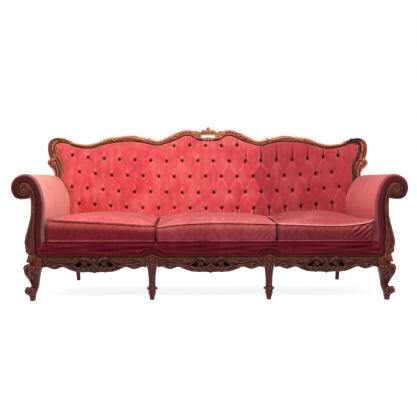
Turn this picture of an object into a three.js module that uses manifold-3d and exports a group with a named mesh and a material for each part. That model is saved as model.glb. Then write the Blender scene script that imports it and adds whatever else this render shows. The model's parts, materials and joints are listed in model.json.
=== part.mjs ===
// A three-seat show-wood settee with a wavy carved crest, a deep-buttoned back, rolled arms,
// three loose seat cushions, carved aprons and six legs. Millimetres, +Z up, front towards -Y.
import * as THREE from "three";
import { mergeVertices } from "three/addons/utils/BufferGeometryUtils.js";
import Module from "manifold-3d";

const wasm = await Module();
wasm.setup();

// Shared by every piece
const half = 0.5;
const gap = 0.4; // between neighbouring pieces
const overrun = 6; // how far one solid runs into another that it joins or cuts
const carvingRadius = 6; // carved round mouldings

// Seat frame
const legHeight = 205; // floor to the underside of the rails
const railHeight = 91;
const railThick = 38;
const sideRailThick = 26;
const seatHalfWidth = 946; // arm's inside face at the front, from the middle
const armSplay = 38; // how far that face comes in at the rear
const seatFrameDepth = 622; // front rail's face to rear rail's face
const frontY = -386; // plane of the front fabric
const borderThick = 24; // front fabric and facing boards, in front of the rail
const flapThick = 3; // cloth behind the pierced aprons
const crossRailThick = 30;
const crossRailDrop = 11; // lower than the rails, so that the webbing can sink
const cornerBlockLeg = 62;
const cornerBlockDrop = 20;
const dustCoverThick = 3;

// Webbing, deck and cushions
const webbingThick = 3;
const strapWide = 50;
const strapsAcross = 4; // from side to side
const strapsDeep = 12; // from front to rear
const strapLap = 12; // on the rear rail
const deckThick = 31;
const cushionHeight = 108; // seam to seam
const cushionCrown = 38;
const cushionRearGap = 4.4; // to the thickest part of the back pad, at the frame's foot
const cushionOverhang = 3; // past the front fabric
const cushionSideGap = 15; // to the arm's inside face
const cushionSlot = 3; // between cushions
const cushionCornerRound = 30;
const cushionEdgeRound = 5;
const cushionDraw = 8; // how far the sides pull in between the corners
const coreInset = 14; // foam core inside the cover
const coreGap = 1;
const zipHeight = 9;
const zipInset = 70; // from each end of the rear side

// Arms
const armPadThick = 30;
const rollHeight = 628; // centre of the front scroll
const rollOut = 94; // that centre, outwards from the arm's inside face
const armFall = 10; // how much lower the roll is at the rear
const armFrontRound = 22;
const boardReliefThick = 14;
const facingReach = 68; // how far the facing can swell past the side rail's inner face
const facingCornerRound = 45;
const outsidePanelThick = 5;
const gimpWide = 22;
const gimpThick = 4.5;
const gimpClear = 2; // from the carving beside it
const frontGimpWide = 15;
const backGimpWide = 9;
const backGimpThick = 3;

// Legs
const cornerLegOut = 40; // how far knee and foot scroll stand out from the frame's corner
const cornerLegIn = 53; // how far the knee reaches in from that corner
const middleLegX = 332;
const middleLegWide = 62;
const middleLegThick = 52;
const middleLegProud = 12;
const middleLegFaceRise = 57; // carved face that runs up over the apron
const rearLegInset = 80; // from the arm's inside face at the front
const rearLegWide = 42;
const rearLegFootWide = 24;
const rearLegSplay = 52;

// Aprons
const apronRise = 37; // apron's top, above the rail's underside
const apronProud = 6;
const apronThick = 25.5;
const apronBelly = 84; // top to lowest carving
const sideApronThick = 19;
const sideApronDrop = 72;

// Back, drawn upright in its own frame and leaned afterwards
const backRake = THREE.MathUtils.degToRad(10.5);
const backSetback = 2; // from the rear rail's face
const backFrameThick = 36;
const backHigh = 700; // frame's foot to the crest's humps
const bottomRailHeight = 60;
const topRailDeep = 74; // below the crest's lower edge
const topRailLap = 9; // behind the crest
const mullionWide = 44;
const mullionX = 320;
const postSetOut = 4; // back post's inner face, outside the crest's end
const crestProud = 28;
const crestSetIn = 3; // rear part of the crest, from its front outline
const cartoucheHalf = 92;
const cartoucheHoleHalf = 50;
const cartoucheHoleHeight = 25;
const backPadThick = 72;
const backPadEdge = 22;
const backEdgeFade = 62;
const buttonPitch = 101.5;
const buttonRowPitch = 104;
const firstButtonRow = 176; // above the frame's foot
const fullButtonRows = 4; // one short row above them
const buttonRowSweep = 38; // how much the rows rise towards the sides
const buttonDepth = 26;
const buttonSpread = 17;
const foldDepth = 11;
const outsideBackThick = 5;
const backStrapsUp = 9;
const backStrapsAcross = 4;

// Levels and planes that follow from the sizes above
const railTop = legHeight + railHeight;
const legTop = legHeight - gap;
const webbingBase = railTop + gap;
const deckBase = webbingBase + webbingThick + gap;
const deckTop = deckBase + deckThick;
const cushionBase = deckTop + gap;
const frontRailY = frontY + borderThick + gap;
const rearRailY = frontRailY + seatFrameDepth;
const rearRailBackY = rearRailY + railThick;
const cushionFrontY = frontY - cushionOverhang;
const cushionRearY = rearRailY + backSetback - backPadThick - cushionRearGap;
const coreX = seatHalfWidth + armPadThick; // arm pad's hidden face
const sideRailX = coreX + gap;
const sideRailOutX = sideRailX + sideRailThick;
const outsideX = sideRailOutX + gap;
const panelOutX = outsideX + outsidePanelThick;
const facingBackY = frontY + borderThick + gap;
const apronTop = legHeight + apronRise;
const apronFrontY = frontY - apronProud;
const rollX = seatHalfWidth + rollOut;
const rearLegX = seatHalfWidth - rearLegInset;
const earX = seatHalfWidth - armSplay; // where the crest meets the stile
const postInnerX = earX + postSetOut;
const cushionRowHalf = seatHalfWidth - cushionSideGap;
const rollClimb = rollHeight - deckBase;
const backFootZ = railTop + gap + backFrameThick * Math.sin(backRake);
const backFootY = rearRailY + backSetback;
const backPlaneY = (z) => backFootY + (z - backFootZ) * Math.tan(backRake); // the back frame's front
const proudPlaneY = (z, proud) => backPlaneY(z) - proud / Math.cos(backRake);
const stileFaceY = (z) => proudPlaneY(z, crestProud) - gap;
const frameRearY = (z) => proudPlaneY(z, -backFrameThick);

// Materials
const plain = (color, roughness) => new THREE.MeshStandardMaterial({ color, roughness, metalness: 0 });
const velvet = plain(0xc23a47, 0.85);
const showWood = plain(0x5e2a1a, 0.38);
const frameWood = plain(0xb08455, 0.7);
const braid = plain(0x3b2620, 0.75);
const jute = plain(0x9a7b4f, 0.9);
const cambric = plain(0x1d1b1c, 0.9);
const foam = plain(0xe3d6a8, 0.95);

// Solids
function solidOf(geometry) {
  const bare = geometry.index ? geometry.toNonIndexed() : geometry.clone();
  bare.deleteAttribute("normal");
  bare.deleteAttribute("uv");
  const merged = mergeVertices(bare, 1e-4);
  return new wasm.Manifold(
    new wasm.Mesh({
      numProp: 3,
      vertProperties: new Float32Array(merged.attributes.position.array),
      triVerts: new Uint32Array(merged.index.array),
    }),
  );
}

function geometryOf(manifold) {
  const mesh = manifold.getMesh();
  const points = new Float32Array(mesh.numVert * 3);
  for (let i = 0; i < mesh.numVert; i++) {
    const start = i * mesh.numProp;
    points.set(mesh.vertProperties.subarray(start, start + 3), i * 3);
  }
  return new THREE.BufferGeometry()
    .setAttribute("position", new THREE.BufferAttribute(points, 3))
    .setIndex(new THREE.BufferAttribute(new Uint32Array(mesh.triVerts), 1));
}

const join = (...geometries) => geometryOf(geometries.map(solidOf).reduce((a, b) => a.add(b)));
const cut = (body, ...tools) =>
  geometryOf(tools.map(solidOf).reduce((left, tool) => left.subtract(tool), solidOf(body)));

function boxBetween(x0, x1, y0, y1, z0, z1) {
  return new THREE.BoxGeometry(x1 - x0, y1 - y0, z1 - z0).translate(
    (x0 + x1) * half,
    (y0 + y1) * half,
    (z0 + z1) * half,
  );
}

// Outlines are lists of [x, z] pairs, seen from the front unless a comment says otherwise
const outline = (points) => new THREE.Shape(points.map(([x, y]) => new THREE.Vector2(x, y)));
const mirrored = (points) => points.map(([x, y]) => [-x, y]).reverse();
const raised = (points, by) => points.map(([x, z]) => [x, z + by]);
const reversed = (points) => points.slice().reverse();

function smooth(points, steps) {
  const curve = new THREE.SplineCurve(points.map(([x, y]) => new THREE.Vector2(x, y)));
  return curve.getPoints(steps).map((p) => [p.x, p.y]);
}

// Points along an arc, angles in turns
function arc(cx, cy, radius, from, to, steps) {
  return Array.from({ length: steps + 1 }, (_, i) => {
    const angle = 2 * Math.PI * THREE.MathUtils.lerp(from, to, i / steps);
    return [cx + radius * Math.cos(angle), cy + radius * Math.sin(angle)];
  });
}

// The height of a left-to-right outline at x
function heightAt(points, x) {
  const found = points.findIndex((p) => p[0] >= x);
  const i = found < 0 ? points.length - 1 : Math.max(1, found);
  const [x0, z0] = points[i - 1];
  const [x1, z1] = points[i];
  return THREE.MathUtils.lerp(z0, z1, THREE.MathUtils.clamp((x - x0) / (x1 - x0), 0, 1));
}

const between = (points, from, to) => [
  [from, heightAt(points, from)],
  ...points.filter(([x]) => x > from && x < to),
  [to, heightAt(points, to)],
];

// An open outline moved to its right-hand side, by one distance or by one for each point
function shifted(points, distance) {
  return points.map(([x, z], i) => {
    const a = points[Math.max(0, i - 1)];
    const b = points[Math.min(points.length - 1, i + 1)];
    const far = Array.isArray(distance) ? distance[i] : distance;
    const move = far / Math.hypot(b[0] - a[0], b[1] - a[1]);
    return [x + (b[1] - a[1]) * move, z + (a[0] - b[0]) * move];
  });
}

// A plate seen from the front, from y = front backwards
function frontPlate(shape, front, thick) {
  return new THREE.ExtrudeGeometry(shape, { depth: thick, bevelEnabled: false })
    .rotateX(Math.PI * half)
    .translate(0, front + thick, 0);
}

// A plate drawn as [y, z], from x = inner outwards
function sidePlate(shape, inner, thick) {
  const turn = new THREE.Matrix4().set(0, 0, 1, inner, 1, 0, 0, 0, 0, 1, 0, 0, 0, 0, 0, 1);
  return new THREE.ExtrudeGeometry(shape, { depth: thick, bevelEnabled: false }).applyMatrix4(turn);
}

// A plate drawn as [x, y]
const levelPlate = (shape, base, thick) =>
  new THREE.ExtrudeGeometry(shape, { depth: thick, bevelEnabled: false }).translate(0, 0, base);

// A flat ribbon along an open outline
function ribbon(points, wide, front, thick) {
  const sides = [...shifted(points, wide * half), ...reversed(shifted(points, -wide * half))];
  return frontPlate(outline(sides), front, thick);
}

// A carved round moulding along an outline, at one depth
function rope(points, y, radius, steps) {
  const sides = 5;
  const path = new THREE.CatmullRomCurve3(points.map(([x, z]) => new THREE.Vector3(x, y, z)));
  const section = outline(arc(0, 0, radius, 0, 1, sides).slice(0, sides));
  return new THREE.ExtrudeGeometry(section, { steps, extrudePath: path });
}

// A low carved boss
const boss = (x, y, z, wide, high) =>
  new THREE.SphereGeometry(1, 8, 6)
    .rotateX(Math.PI * half)
    .scale(wide * half, carvingRadius, high * half)
    .translate(x, y, z);

// A closed skin over rings of equal length; flatten shows a ring as a plane outline
function loft(rings, flatten) {
  const count = rings[0].length;
  const points = rings.flat().flatMap((p) => [p.x, p.y, p.z]);
  const faces = [];
  for (let r = 0; r + 1 < rings.length; r++)
    for (let i = 0; i < count; i++) {
      const a = r * count + i;
      const b = r * count + ((i + 1) % count);
      faces.push(a, b, b + count, a, b + count, a + count);
    }
  const last = (rings.length - 1) * count;
  const turn = THREE.ShapeUtils.area(rings[0].map(flatten));
  for (const [a, b, c] of filled(rings[0].map(flatten), turn)) faces.push(a, c, b);
  for (const [a, b, c] of filled(rings.at(-1).map(flatten), turn))
    faces.push(last + a, last + b, last + c);
  return facingOut(points, faces);
}

// Triangles over a ring, turned as the ring is
function filled(ring, turn) {
  return THREE.ShapeUtils.triangulateShape(ring, []).map(([a, b, c]) =>
    THREE.ShapeUtils.area([ring[a], ring[b], ring[c]]) * turn > 0 ? [a, b, c] : [a, c, b],
  );
}

function facingOut(points, faces) {
  const corner = (i) => new THREE.Vector3().fromArray(points, 3 * i);
  let volume = 0;
  for (let i = 0; i < faces.length; i += 3)
    volume += corner(faces[i]).dot(corner(faces[i + 1]).cross(corner(faces[i + 2])));
  if (volume < 0) faces.reverse();
  return new THREE.BufferGeometry()
    .setAttribute("position", new THREE.Float32BufferAttribute(points, 3))
    .setIndex(faces);
}

const seenFromFront = (p) => new THREE.Vector2(p.x, p.z);
const seenFromAbove = (p) => new THREE.Vector2(p.x, p.y);

// Groups: both sides are drawn on the right and turned over on the left
const root = new THREE.Group();
const rightSide = new THREE.Group();
const leftSide = new THREE.Group();
const back = new THREE.Group();
const backRight = new THREE.Group();
const backLeft = new THREE.Group();
leftSide.scale.x = -1;
backLeft.scale.x = -1;
back.position.set(0, backFootY, backFootZ);
back.rotation.x = -backRake;
back.add(backRight, backLeft);
root.add(rightSide, leftSide, back);

function place(group, name, geometry, material) {
  const mesh = new THREE.Mesh(geometry, material);
  mesh.name = name;
  group.add(mesh);
}

function placePair(name, geometry, material, right = rightSide, left = leftSide) {
  place(right, name + "_right", geometry, material);
  place(left, name + "_left", geometry, material);
}

// The arm's outline from its foot up the inside, over the roll and back under it:
// outwards as a share of rollOut, upwards as a share of the climb to the roll's centre,
// and how much of the splay and of the fabric's thickness the point takes
const armShares = [
  [0, 0, 1, 1],
  [0, 0.1, 1, 1],
  [0.02, 0.25, 1, 1],
  [-0.04, 0.47, 0.96, 1],
  [-0.09, 0.68, 0.92, 1],
  [-0.05, 0.83, 0.8, 1],
  [0.07, 0.98, 0.6, 1],
  [0.24, 1.1, 0.4, 1],
  [0.53, 1.195, 0.2, 1.05],
  [1.0, 1.245, 0.1, 1.1],
  [1.42, 1.22, 0.05, 1.1],
  [1.71, 1.16, 0, 1.1],
  [1.86, 1.07, 0, 1.05],
  [1.85, 0.955, 0, 0.9],
  [1.63, 0.855, 0, 0.7],
  [1.32, 0.825, 0, 0.6],
  [0.92, 0.838, 0, 0.55],
  [0.69, 0.855, 0, 0.5],
];
const armTopIndex = 9;
const armCoreIndex = 5; // the top rail starts here
const armOutline = (end) =>
  armShares.map(([out, up]) => [
    seatHalfWidth + out * rollOut,
    deckBase + up * rollClimb - end * armFall * up,
  ]);
const armSplayed = (end) =>
  armOutline(end).map(([x, z], i) => [x - end * armSplay * armShares[i][2], z]);
const armInside = (end, extra) =>
  shifted(
    armOutline(end),
    armShares.map((shares) => shares[3] * armPadThick + extra),
  );

// The arm's inside face at a depth, level with the deck
const armBackY = stileFaceY(deckBase);
const armStraightY = frontY + armFrontRound;
const armFaceX = (y) =>
  seatHalfWidth - armSplay * THREE.MathUtils.clamp((y - armStraightY) / (armBackY - armStraightY), 0, 1);

// Seat frame
const frontRail = boxBetween(-coreX, coreX, frontRailY, frontRailY + railThick, legHeight, railTop);
const rearRail = boxBetween(-sideRailOutX, sideRailOutX, rearRailY, rearRailBackY, legHeight, railTop);
place(root, "front_seat_rail", frontRail, frameWood);
place(root, "rear_seat_rail", rearRail, frameWood);

const sideRailRearY = rearRailY - gap;
placePair(
  "side_seat_rail",
  boxBetween(sideRailX, sideRailOutX, facingBackY, sideRailRearY, legHeight, railTop),
  frameWood,
);

const insideFrontY = frontRailY + railThick + gap;
const crossRail = boxBetween(
  mullionX - crossRailThick * half,
  mullionX + crossRailThick * half,
  insideFrontY,
  sideRailRearY,
  legHeight + crossRailDrop,
  railTop - crossRailDrop,
);
placePair("cross_rail", crossRail, frameWood);

function cornerBlock(y, towards) {
  const x = sideRailX - gap;
  const corners = [
    [x, y],
    [x - cornerBlockLeg, y],
    [x, y + towards * cornerBlockLeg],
  ];
  const high = railHeight - 2 * cornerBlockDrop;
  return levelPlate(outline(corners), legHeight + cornerBlockDrop, high);
}
placePair("front_corner_block", cornerBlock(insideFrontY, 1), frameWood);
placePair("rear_corner_block", cornerBlock(sideRailRearY, -1), frameWood);

// Straps crossing between two corners, as one pierced sheet
function lattice(x0, x1, y0, y1, countX, countY, base) {
  const stepX = (x1 - x0 - strapWide) / (countX - 1);
  const stepY = (y1 - y0 - strapWide) / (countY - 1);
  const top = base + webbingThick;
  const openings = [];
  for (let i = 0; i + 1 < countX; i++)
    for (let j = 0; j + 1 < countY; j++) {
      const x = x0 + strapWide + i * stepX;
      const y = y0 + strapWide + j * stepY;
      const [farX, farY] = [x + stepX - strapWide, y + stepY - strapWide];
      openings.push(boxBetween(x, farX, y, farY, base - overrun, top + overrun));
    }
  return cut(boxBetween(x0, x1, y0, y1, base, top), ...openings);
}
const webHalf = seatHalfWidth + armPadThick * half;
const webRearY = rearRailY + strapLap;
const seatWeb = lattice(-webHalf, webHalf, frontRailY, webRearY, strapsDeep, strapsAcross, webbingBase);
place(root, "seat_webbing", seatWeb, jute);

const deckRearY = proudPlaneY(deckBase, backPadThick) - webbingThick - gap;
const deckRight = [
  [armFaceX(deckRearY) - gap, deckRearY],
  [armFaceX(frontRailY) - gap, frontRailY],
];
const deck = levelPlate(outline([...deckRight, ...mirrored(deckRight)]), deckBase, deckThick);
place(root, "seat_deck_pad", deck, velvet);

// Upholstered band under the cushions; its flap runs down behind the aprons
const bandHalf = coreX - gap;
const bandCornerX = bandHalf - facingCornerRound;
const bandFoot = apronTop + gap;
const bandTop = deckTop - cushionEdgeRound;
const bandUpperHalf = seatHalfWidth - gap;
const bandRight = [
  ...arc(bandCornerX, bandFoot + facingCornerRound, facingCornerRound, -0.25, 0, 5),
  [bandHalf, deckBase - gap],
  [bandUpperHalf, deckBase - gap],
  [bandUpperHalf, bandTop],
];
const band = frontPlate(outline([...bandRight, ...mirrored(bandRight)]), frontY, borderThick);
const bandRoll = boxBetween(
  -bandUpperHalf,
  bandUpperHalf,
  frontY + cushionEdgeRound,
  frontY + borderThick,
  bandTop - overrun,
  deckTop,
);
const flap = boxBetween(
  -bandCornerX,
  bandCornerX,
  frontY + borderThick - flapThick,
  frontY + borderThick,
  legHeight,
  bandFoot + facingCornerRound * half,
);

const dustHalf = sideRailX + cushionEdgeRound;
const dustFrontY = frontY + cornerLegIn + gap;
const dustTop = legHeight - gap;
const dustCover = cut(
  boxBetween(-dustHalf, dustHalf, dustFrontY, rearRailBackY, dustTop - dustCoverThick, dustTop),
  ...[-1, 1].map((side) =>
    boxBetween(
      side * rearLegX - rearLegWide,
      side * rearLegX + rearLegWide,
      rearRailY - overrun,
      rearRailBackY + overrun,
      0,
      legHeight,
    ),
  ),
);
place(root, "dust_cover", dustCover, cambric);

// Arm facings: a board behind, with a raised moulding that ends in a scroll.
// Outer edge as [share of the reach, share of the climb from the rail to the scroll]
const facingOuterShares = [
  [0.64, 0.0],
  [0.63, 0.11],
  [0.77, 0.155],
  [0.94, 0.22],
  [0.96, 0.285],
  [0.91, 0.365],
  [0.75, 0.46],
  [0.57, 0.565],
  [0.45, 0.66],
  [0.42, 0.75],
  [0.42, 0.84],
  [0.46, 0.91],
];
const facingOuter = smooth(
  facingOuterShares.map(([across, up]) => [
    sideRailX + across * facingReach,
    legHeight + up * (rollHeight - legHeight),
  ]),
  24,
);
const cornerX = sideRailX - facingCornerRound; // where the band's round corner starts
const cornerZ = apronTop + facingCornerRound;
const apronEndShare = 0.35;
const apronEndX = cornerX + facingCornerRound * apronEndShare;
const cornerTurn = Math.acos((apronEndX - cornerX) / facingCornerRound) / (2 * Math.PI);
const innerCorner = arc(cornerX, cornerZ, facingCornerRound, -cornerTurn, 0, 4);
const facingEnd = [...reversed(facingOuter), [apronEndX, legHeight]];
const board = outline([...innerCorner, ...armInside(0, gap), ...facingEnd]);
const braidEdge = gimpWide * half + gimpClear;
const relief = outline([...shifted(innerCorner, braidEdge), ...armInside(0, braidEdge), ...facingEnd]);
const reliefFrontY = frontY - boardReliefThick;

const scrollSteps = 9;
const scrollStart = 0.525; // turns, once round from there
const scrollOuterShare = 0.44;
const scrollInnerShare = 0.16;
const eyeShare = 0.22;
const scrollLine = Array.from({ length: scrollSteps }, (_, i) => {
  const share = i / (scrollSteps - 1);
  const angle = 2 * Math.PI * (scrollStart - share);
  const reach = facingReach * THREE.MathUtils.lerp(scrollOuterShare, scrollInnerShare, share);
  return [rollX + reach * Math.cos(angle), rollHeight + reach * Math.sin(angle)];
});
const facingBead = facingOuter.slice(4, -2).map(([x, z]) => [x - carvingRadius, z]);
const eyeWide = facingReach * eyeShare;
const facing = join(
  frontPlate(board, frontY, borderThick),
  frontPlate(relief, reliefFrontY, boardReliefThick + gap),
  rope(scrollLine, reliefFrontY, carvingRadius, 14),
  rope(reversed(facingBead), reliefFrontY, carvingRadius, 12),
  boss(rollX, reliefFrontY, rollHeight, eyeWide, eyeWide),
);
placePair("arm_facing", facing, showWood);

// Arm: a soft C-shaped pad over a shaped top rail
// Sections as shares of the front rounding, [inset, depth], and of the length behind it
const armFrontShares = [
  [0.5, 0],
  [0.15, 0.35],
  [0, 1],
];
const armLengthShares = [0.33, 0.66, 1];
const armRing = (endShare, points, y) =>
  points.map(([x, z]) => {
    const along = THREE.MathUtils.lerp(armStraightY, stileFaceY(z), endShare);
    return new THREE.Vector3(x, y ?? along, z);
  });
function armSection(endShare, inset, y) {
  const outside = shifted(armSplayed(endShare), inset);
  outside[0][1] = deckBase;
  return armRing(endShare, [...outside, ...reversed(armInside(endShare, 0))], y);
}
const armPad = loft(
  [
    ...armFrontShares.map(([inset, deep]) =>
      armSection(0, inset * armFrontRound, frontY + deep * armFrontRound),
    ),
    ...armLengthShares.map((endShare) => armSection(endShare, 0)),
  ],
  seenFromFront,
);
placePair("arm_pad", armPad, velvet);

function coreSection(endShare, y) {
  const hidden = armInside(endShare, gap).slice(armCoreIndex);
  const foot = hidden[0][1];
  const ring = [...hidden, [sideRailOutX, hidden.at(-1)[1]], [sideRailOutX, foot]];
  return armRing(endShare, ring, y);
}
const armCore = loft([coreSection(0, facingBackY), coreSection(half), coreSection(1)], seenFromFront);
placePair("arm_top_rail", armCore, frameWood);

const tackTop = deckBase + rollClimb * armShares[1][1]; // where the pad's hidden face stops being upright
const tackRail = boxBetween(sideRailX, sideRailOutX, facingBackY, armBackY, deckBase, tackTop);
placePair("arm_tack_rail", tackRail, frameWood);

const panelFoot = apronTop + gap;
const panelTop = armOutline(1).at(-1)[1] - gap;
const outsidePanel = sidePlate(
  outline([
    [facingBackY, panelFoot],
    [rearRailBackY, panelFoot],
    [rearRailBackY, railTop],
    [frameRearY(railTop + overrun), railTop + overrun],
    [frameRearY(panelTop), panelTop],
    [facingBackY, panelTop],
  ]),
  outsideX,
  outsidePanelThick,
);
placePair("outside_arm", outsidePanel, velvet);

// Braid round the facings and along the front
const gimpFrontY = frontY - gap - gimpThick;
const gimpSeam = [...innerCorner, ...armInside(0, 0).slice(1, -1)];
placePair("arm_gimp", ribbon(gimpSeam, gimpWide, gimpFrontY, gimpThick), braid);

const legFaceTop = legHeight + middleLegFaceRise;
const legFaceHalf = middleLegWide * half;
const gimpLift = frontGimpWide * half + gap;
const frontGimpLevel = apronTop + gimpLift;
// It hops over the middle legs, as [share of the leg face's half width, share of the hop]
const gimpHopShares = [
  [-1.8, 0],
  [-1.2, 0.59],
  [-0.5, 1],
  [0.5, 1],
  [1.2, 0.59],
  [1.8, 0],
];
const gimpHopTop = legFaceTop + gimpLift + carvingRadius * half;
const frontGimpRight = [
  ...gimpHopShares.map(([across, up]) => [
    middleLegX + across * legFaceHalf,
    THREE.MathUtils.lerp(frontGimpLevel, gimpHopTop, up),
  ]),
  [gimpSeam[0][0] - gimpWide * half, frontGimpLevel],
];
const frontGimpLine = [...mirrored(frontGimpRight), ...frontGimpRight];
place(root, "front_gimp", ribbon(frontGimpLine, frontGimpWide, gimpFrontY, gimpThick), braid);

// Aprons: lower edge as [share of the half length, share of the belly], from the middle outwards
const apronEdgeShares = [
  [0, 1],
  [0.16, 0.96],
  [0.34, 0.95],
  [0.48, 0.8],
  [0.6, 0.61],
  [0.68, 0.7],
  [0.77, 0.78],
  [0.86, 0.68],
  [0.93, 0.61],
  [1, 0.68],
];
// Piercings as [share of the half length, share of the belly, width share, height share]
const apronHoleShares = [
  [0.12, 0.55, 0.12, 0.2],
  [0.3, 0.42, 0.13, 0.17],
  [0.33, 0.72, 0.09, 0.11],
];
const apronBossShares = [0.2, 0.16, 0.34]; // down, wide, high
const holeSides = 8;
function apronEdge(from, to) {
  const middle = (from + to) * half;
  const length = (to - from) * half;
  const edge = smooth(
    apronEdgeShares.map(([across, down]) => [across * length, apronTop - down * apronBelly]),
    16,
  );
  return [...mirrored(edge).slice(0, -1), ...edge].map(([x, z]) => [x + middle, z]);
}

function apron(from, to) {
  const middle = (from + to) * half;
  const length = (to - from) * half;
  const lower = apronEdge(from, to);
  const shape = outline([[from, apronTop], ...lower, [to, apronTop]]);
  const round = arc(0, 0, half, 0, 1, holeSides).slice(0, holeSides);
  for (const [across, down, wide, high] of apronHoleShares)
    for (const side of [-1, 1]) {
      const x = middle + side * across * length;
      const z = apronTop - down * apronBelly;
      const [rimWide, rimHigh] = [wide * length, 2 * high * apronBelly];
      const rim = round.map(([a, b]) => new THREE.Vector2(x + a * rimWide, z + b * rimHigh));
      shape.holes.push(new THREE.Path(rim));
    }
  const bead = raised(lower.slice(2, -2), carvingRadius);
  const [bossDown, bossWide, bossHigh] = apronBossShares;
  const bossZ = apronTop - apronBelly * bossDown;
  return join(
    frontPlate(shape, apronFrontY, apronThick),
    rope(bead, apronFrontY, carvingRadius, 26),
    boss(middle, apronFrontY, bossZ, length * bossWide, apronBelly * bossHigh),
  );
}
const apronGap = legFaceHalf + gap;
const middleSpan = [-middleLegX + apronGap, middleLegX - apronGap];
const sideSpan = [middleLegX + apronGap, apronEndX - gap];
place(root, "apron_middle", apron(...middleSpan), showWood);
placePair("apron_side", apron(...sideSpan), showWood);

// The front fabric's flap, let down behind the piercings
const liningShare = 0.6; // of the apron's half length
function lining([from, to]) {
  const middle = (from + to) * half;
  const reach = (to - from) * half * liningShare;
  const edge = between(apronEdge(from, to), middle - reach, middle + reach);
  const foot = raised(edge, carvingRadius + flapThick);
  const top = legHeight + overrun;
  const shape = outline([...foot, [middle + reach, top], [middle - reach, top]]);
  return frontPlate(shape, frontY + borderThick - flapThick, flapThick);
}
const linings = [middleSpan, sideSpan, reversed(sideSpan).map((x) => -x)].map(lining);
place(root, "front_border", join(band, bandRoll, flap, ...linings), velvet);

const sideApronShares = [
  [0, 0.62],
  [0.12, 0.55],
  [0.3, 0.66],
  [0.5, 0.9],
  [0.7, 0.66],
  [0.88, 0.55],
  [1, 0.62],
];
const legRearY = frontY + cornerLegIn + gap;
const sideApronEdge = smooth(
  sideApronShares.map(([along, down]) => [
    THREE.MathUtils.lerp(legRearY, rearRailBackY, along),
    apronTop - down * sideApronDrop,
  ]),
  18,
);
const sideApronOutline = [
  [facingBackY, apronTop],
  [facingBackY, legHeight],
  [legRearY, legHeight],
  ...sideApronEdge,
  [rearRailBackY, apronTop],
];
placePair("side_rail_apron", sidePlate(outline(sideApronOutline), outsideX, sideApronThick), showWood);

// Corner legs stand on the frame's corner: how far out and in they reach at each share of the height
const cornerLegShares = [
  [1.0, 0.62, 1.0],
  [0.93, 0.92, 1.0],
  [0.86, 1.0, 0.94],
  [0.73, 0.8, 0.82],
  [0.57, 0.45, 0.71],
  [0.42, 0.2, 0.63],
  [0.37, 0.45, 0.6],
  [0.31, 0.95, 0.55],
  [0.24, 0.98, 0.47],
  [0.17, 0.75, 0.38],
  [0.09, 0.42, 0.33],
  [0.0, 0.35, 0.27],
];
const cornerLegChamfer = 0.2; // share of the section's width
const cornerLegRings = cornerLegShares.map(([up, out, inn]) => {
  const x1 = panelOutX + out * cornerLegOut;
  const x0 = panelOutX - inn * cornerLegIn;
  const y0 = frontY - out * cornerLegOut;
  const y1 = y0 + x1 - x0;
  const c = (x1 - x0) * cornerLegChamfer;
  const square = [
    [x0 + c, y0],
    [x1 - c * half, y0],
    [x1, y0 + c * half],
    [x1, y1 - c],
    [x1 - c, y1],
    [x0 + c, y1],
    [x0, y1 - c],
    [x0, y0 + c],
  ];
  return square.map(([x, y]) => new THREE.Vector3(x, y, up * legTop));
});
placePair("front_leg", loft(cornerLegRings, seenFromAbove), showWood);

// Middle legs, as [share of the height, share of the width]
const middleLegShares = [
  [1.0, 0.98],
  [0.93, 0.86],
  [0.83, 0.77],
  [0.68, 0.68],
  [0.5, 0.6],
  [0.37, 0.58],
  [0.36, 0.82],
  [0.33, 0.92],
  [0.28, 0.84],
  [0.26, 0.62],
  [0.24, 0.7],
  [0.2, 0.68],
  [0.0, 0.38],
];
const legSides = 8;
const legTurn = half / legSides;
const middleLegY = frontY - middleLegProud + middleLegThick * half;
const middleLegRings = middleLegShares.map(([up, share]) =>
  arc(0, 0, half / Math.cos(Math.PI / legSides), legTurn, 1 + legTurn, legSides)
    .slice(0, legSides)
    .map(([a, b]) => {
      const x = middleLegX + a * share * middleLegWide;
      return new THREE.Vector3(x, middleLegY + b * share * middleLegThick, up * legTop);
    }),
);
const legFaceShares = [
  [-1, 0],
  [1, 0],
  [1, 0.55],
  [0.8, 0.82],
  [0.35, 0.93],
  [0, 1],
  [-0.35, 0.93],
  [-0.8, 0.82],
  [-1, 0.55],
];
const legFaceFoot = legHeight - overrun;
const legFaceY = frontY - middleLegProud;
const legFaceOutline = legFaceShares.map(([across, up]) => [
  middleLegX + across * legFaceHalf,
  THREE.MathUtils.lerp(legFaceFoot, legFaceTop - gap, up),
]);
const legFace = cut(
  frontPlate(outline(legFaceOutline), legFaceY, middleLegProud + borderThick - flapThick - gap),
  boxBetween(
    middleLegX - middleLegWide,
    middleLegX + middleLegWide,
    frontY - gap,
    frontRailY,
    apronTop,
    legFaceTop,
  ),
);
const rosetteShare = 0.7;
const rosetteWide = middleLegWide * rosetteShare;
const rosette = boss(middleLegX, legFaceY, legHeight + middleLegFaceRise * half, rosetteWide, rosetteWide);
placePair("middle_leg", join(loft(middleLegRings, seenFromAbove), legFace, rosette), showWood);

function rearLegRing(wide, y, z) {
  const corners = [
    [-half, -half],
    [half, -half],
    [half, half],
    [-half, half],
  ];
  return corners.map(([a, b]) => new THREE.Vector3(rearLegX + a * wide, y + b * wide, z));
}
const rearLegTopY = rearRailY + railThick * half;
const rearLegBendShare = 0.32; // of the splay, half way up
const rearLegBendY = rearLegTopY + rearLegSplay * rearLegBendShare;
const rearLegRings = [
  rearLegRing(rearLegWide, rearLegTopY, legTop),
  rearLegRing((rearLegWide + rearLegFootWide) * half, rearLegBendY, legHeight * half),
  rearLegRing(rearLegFootWide, rearLegTopY + rearLegSplay, 0),
];
placePair("rear_leg", loft(rearLegRings, seenFromAbove), showWood);

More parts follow.
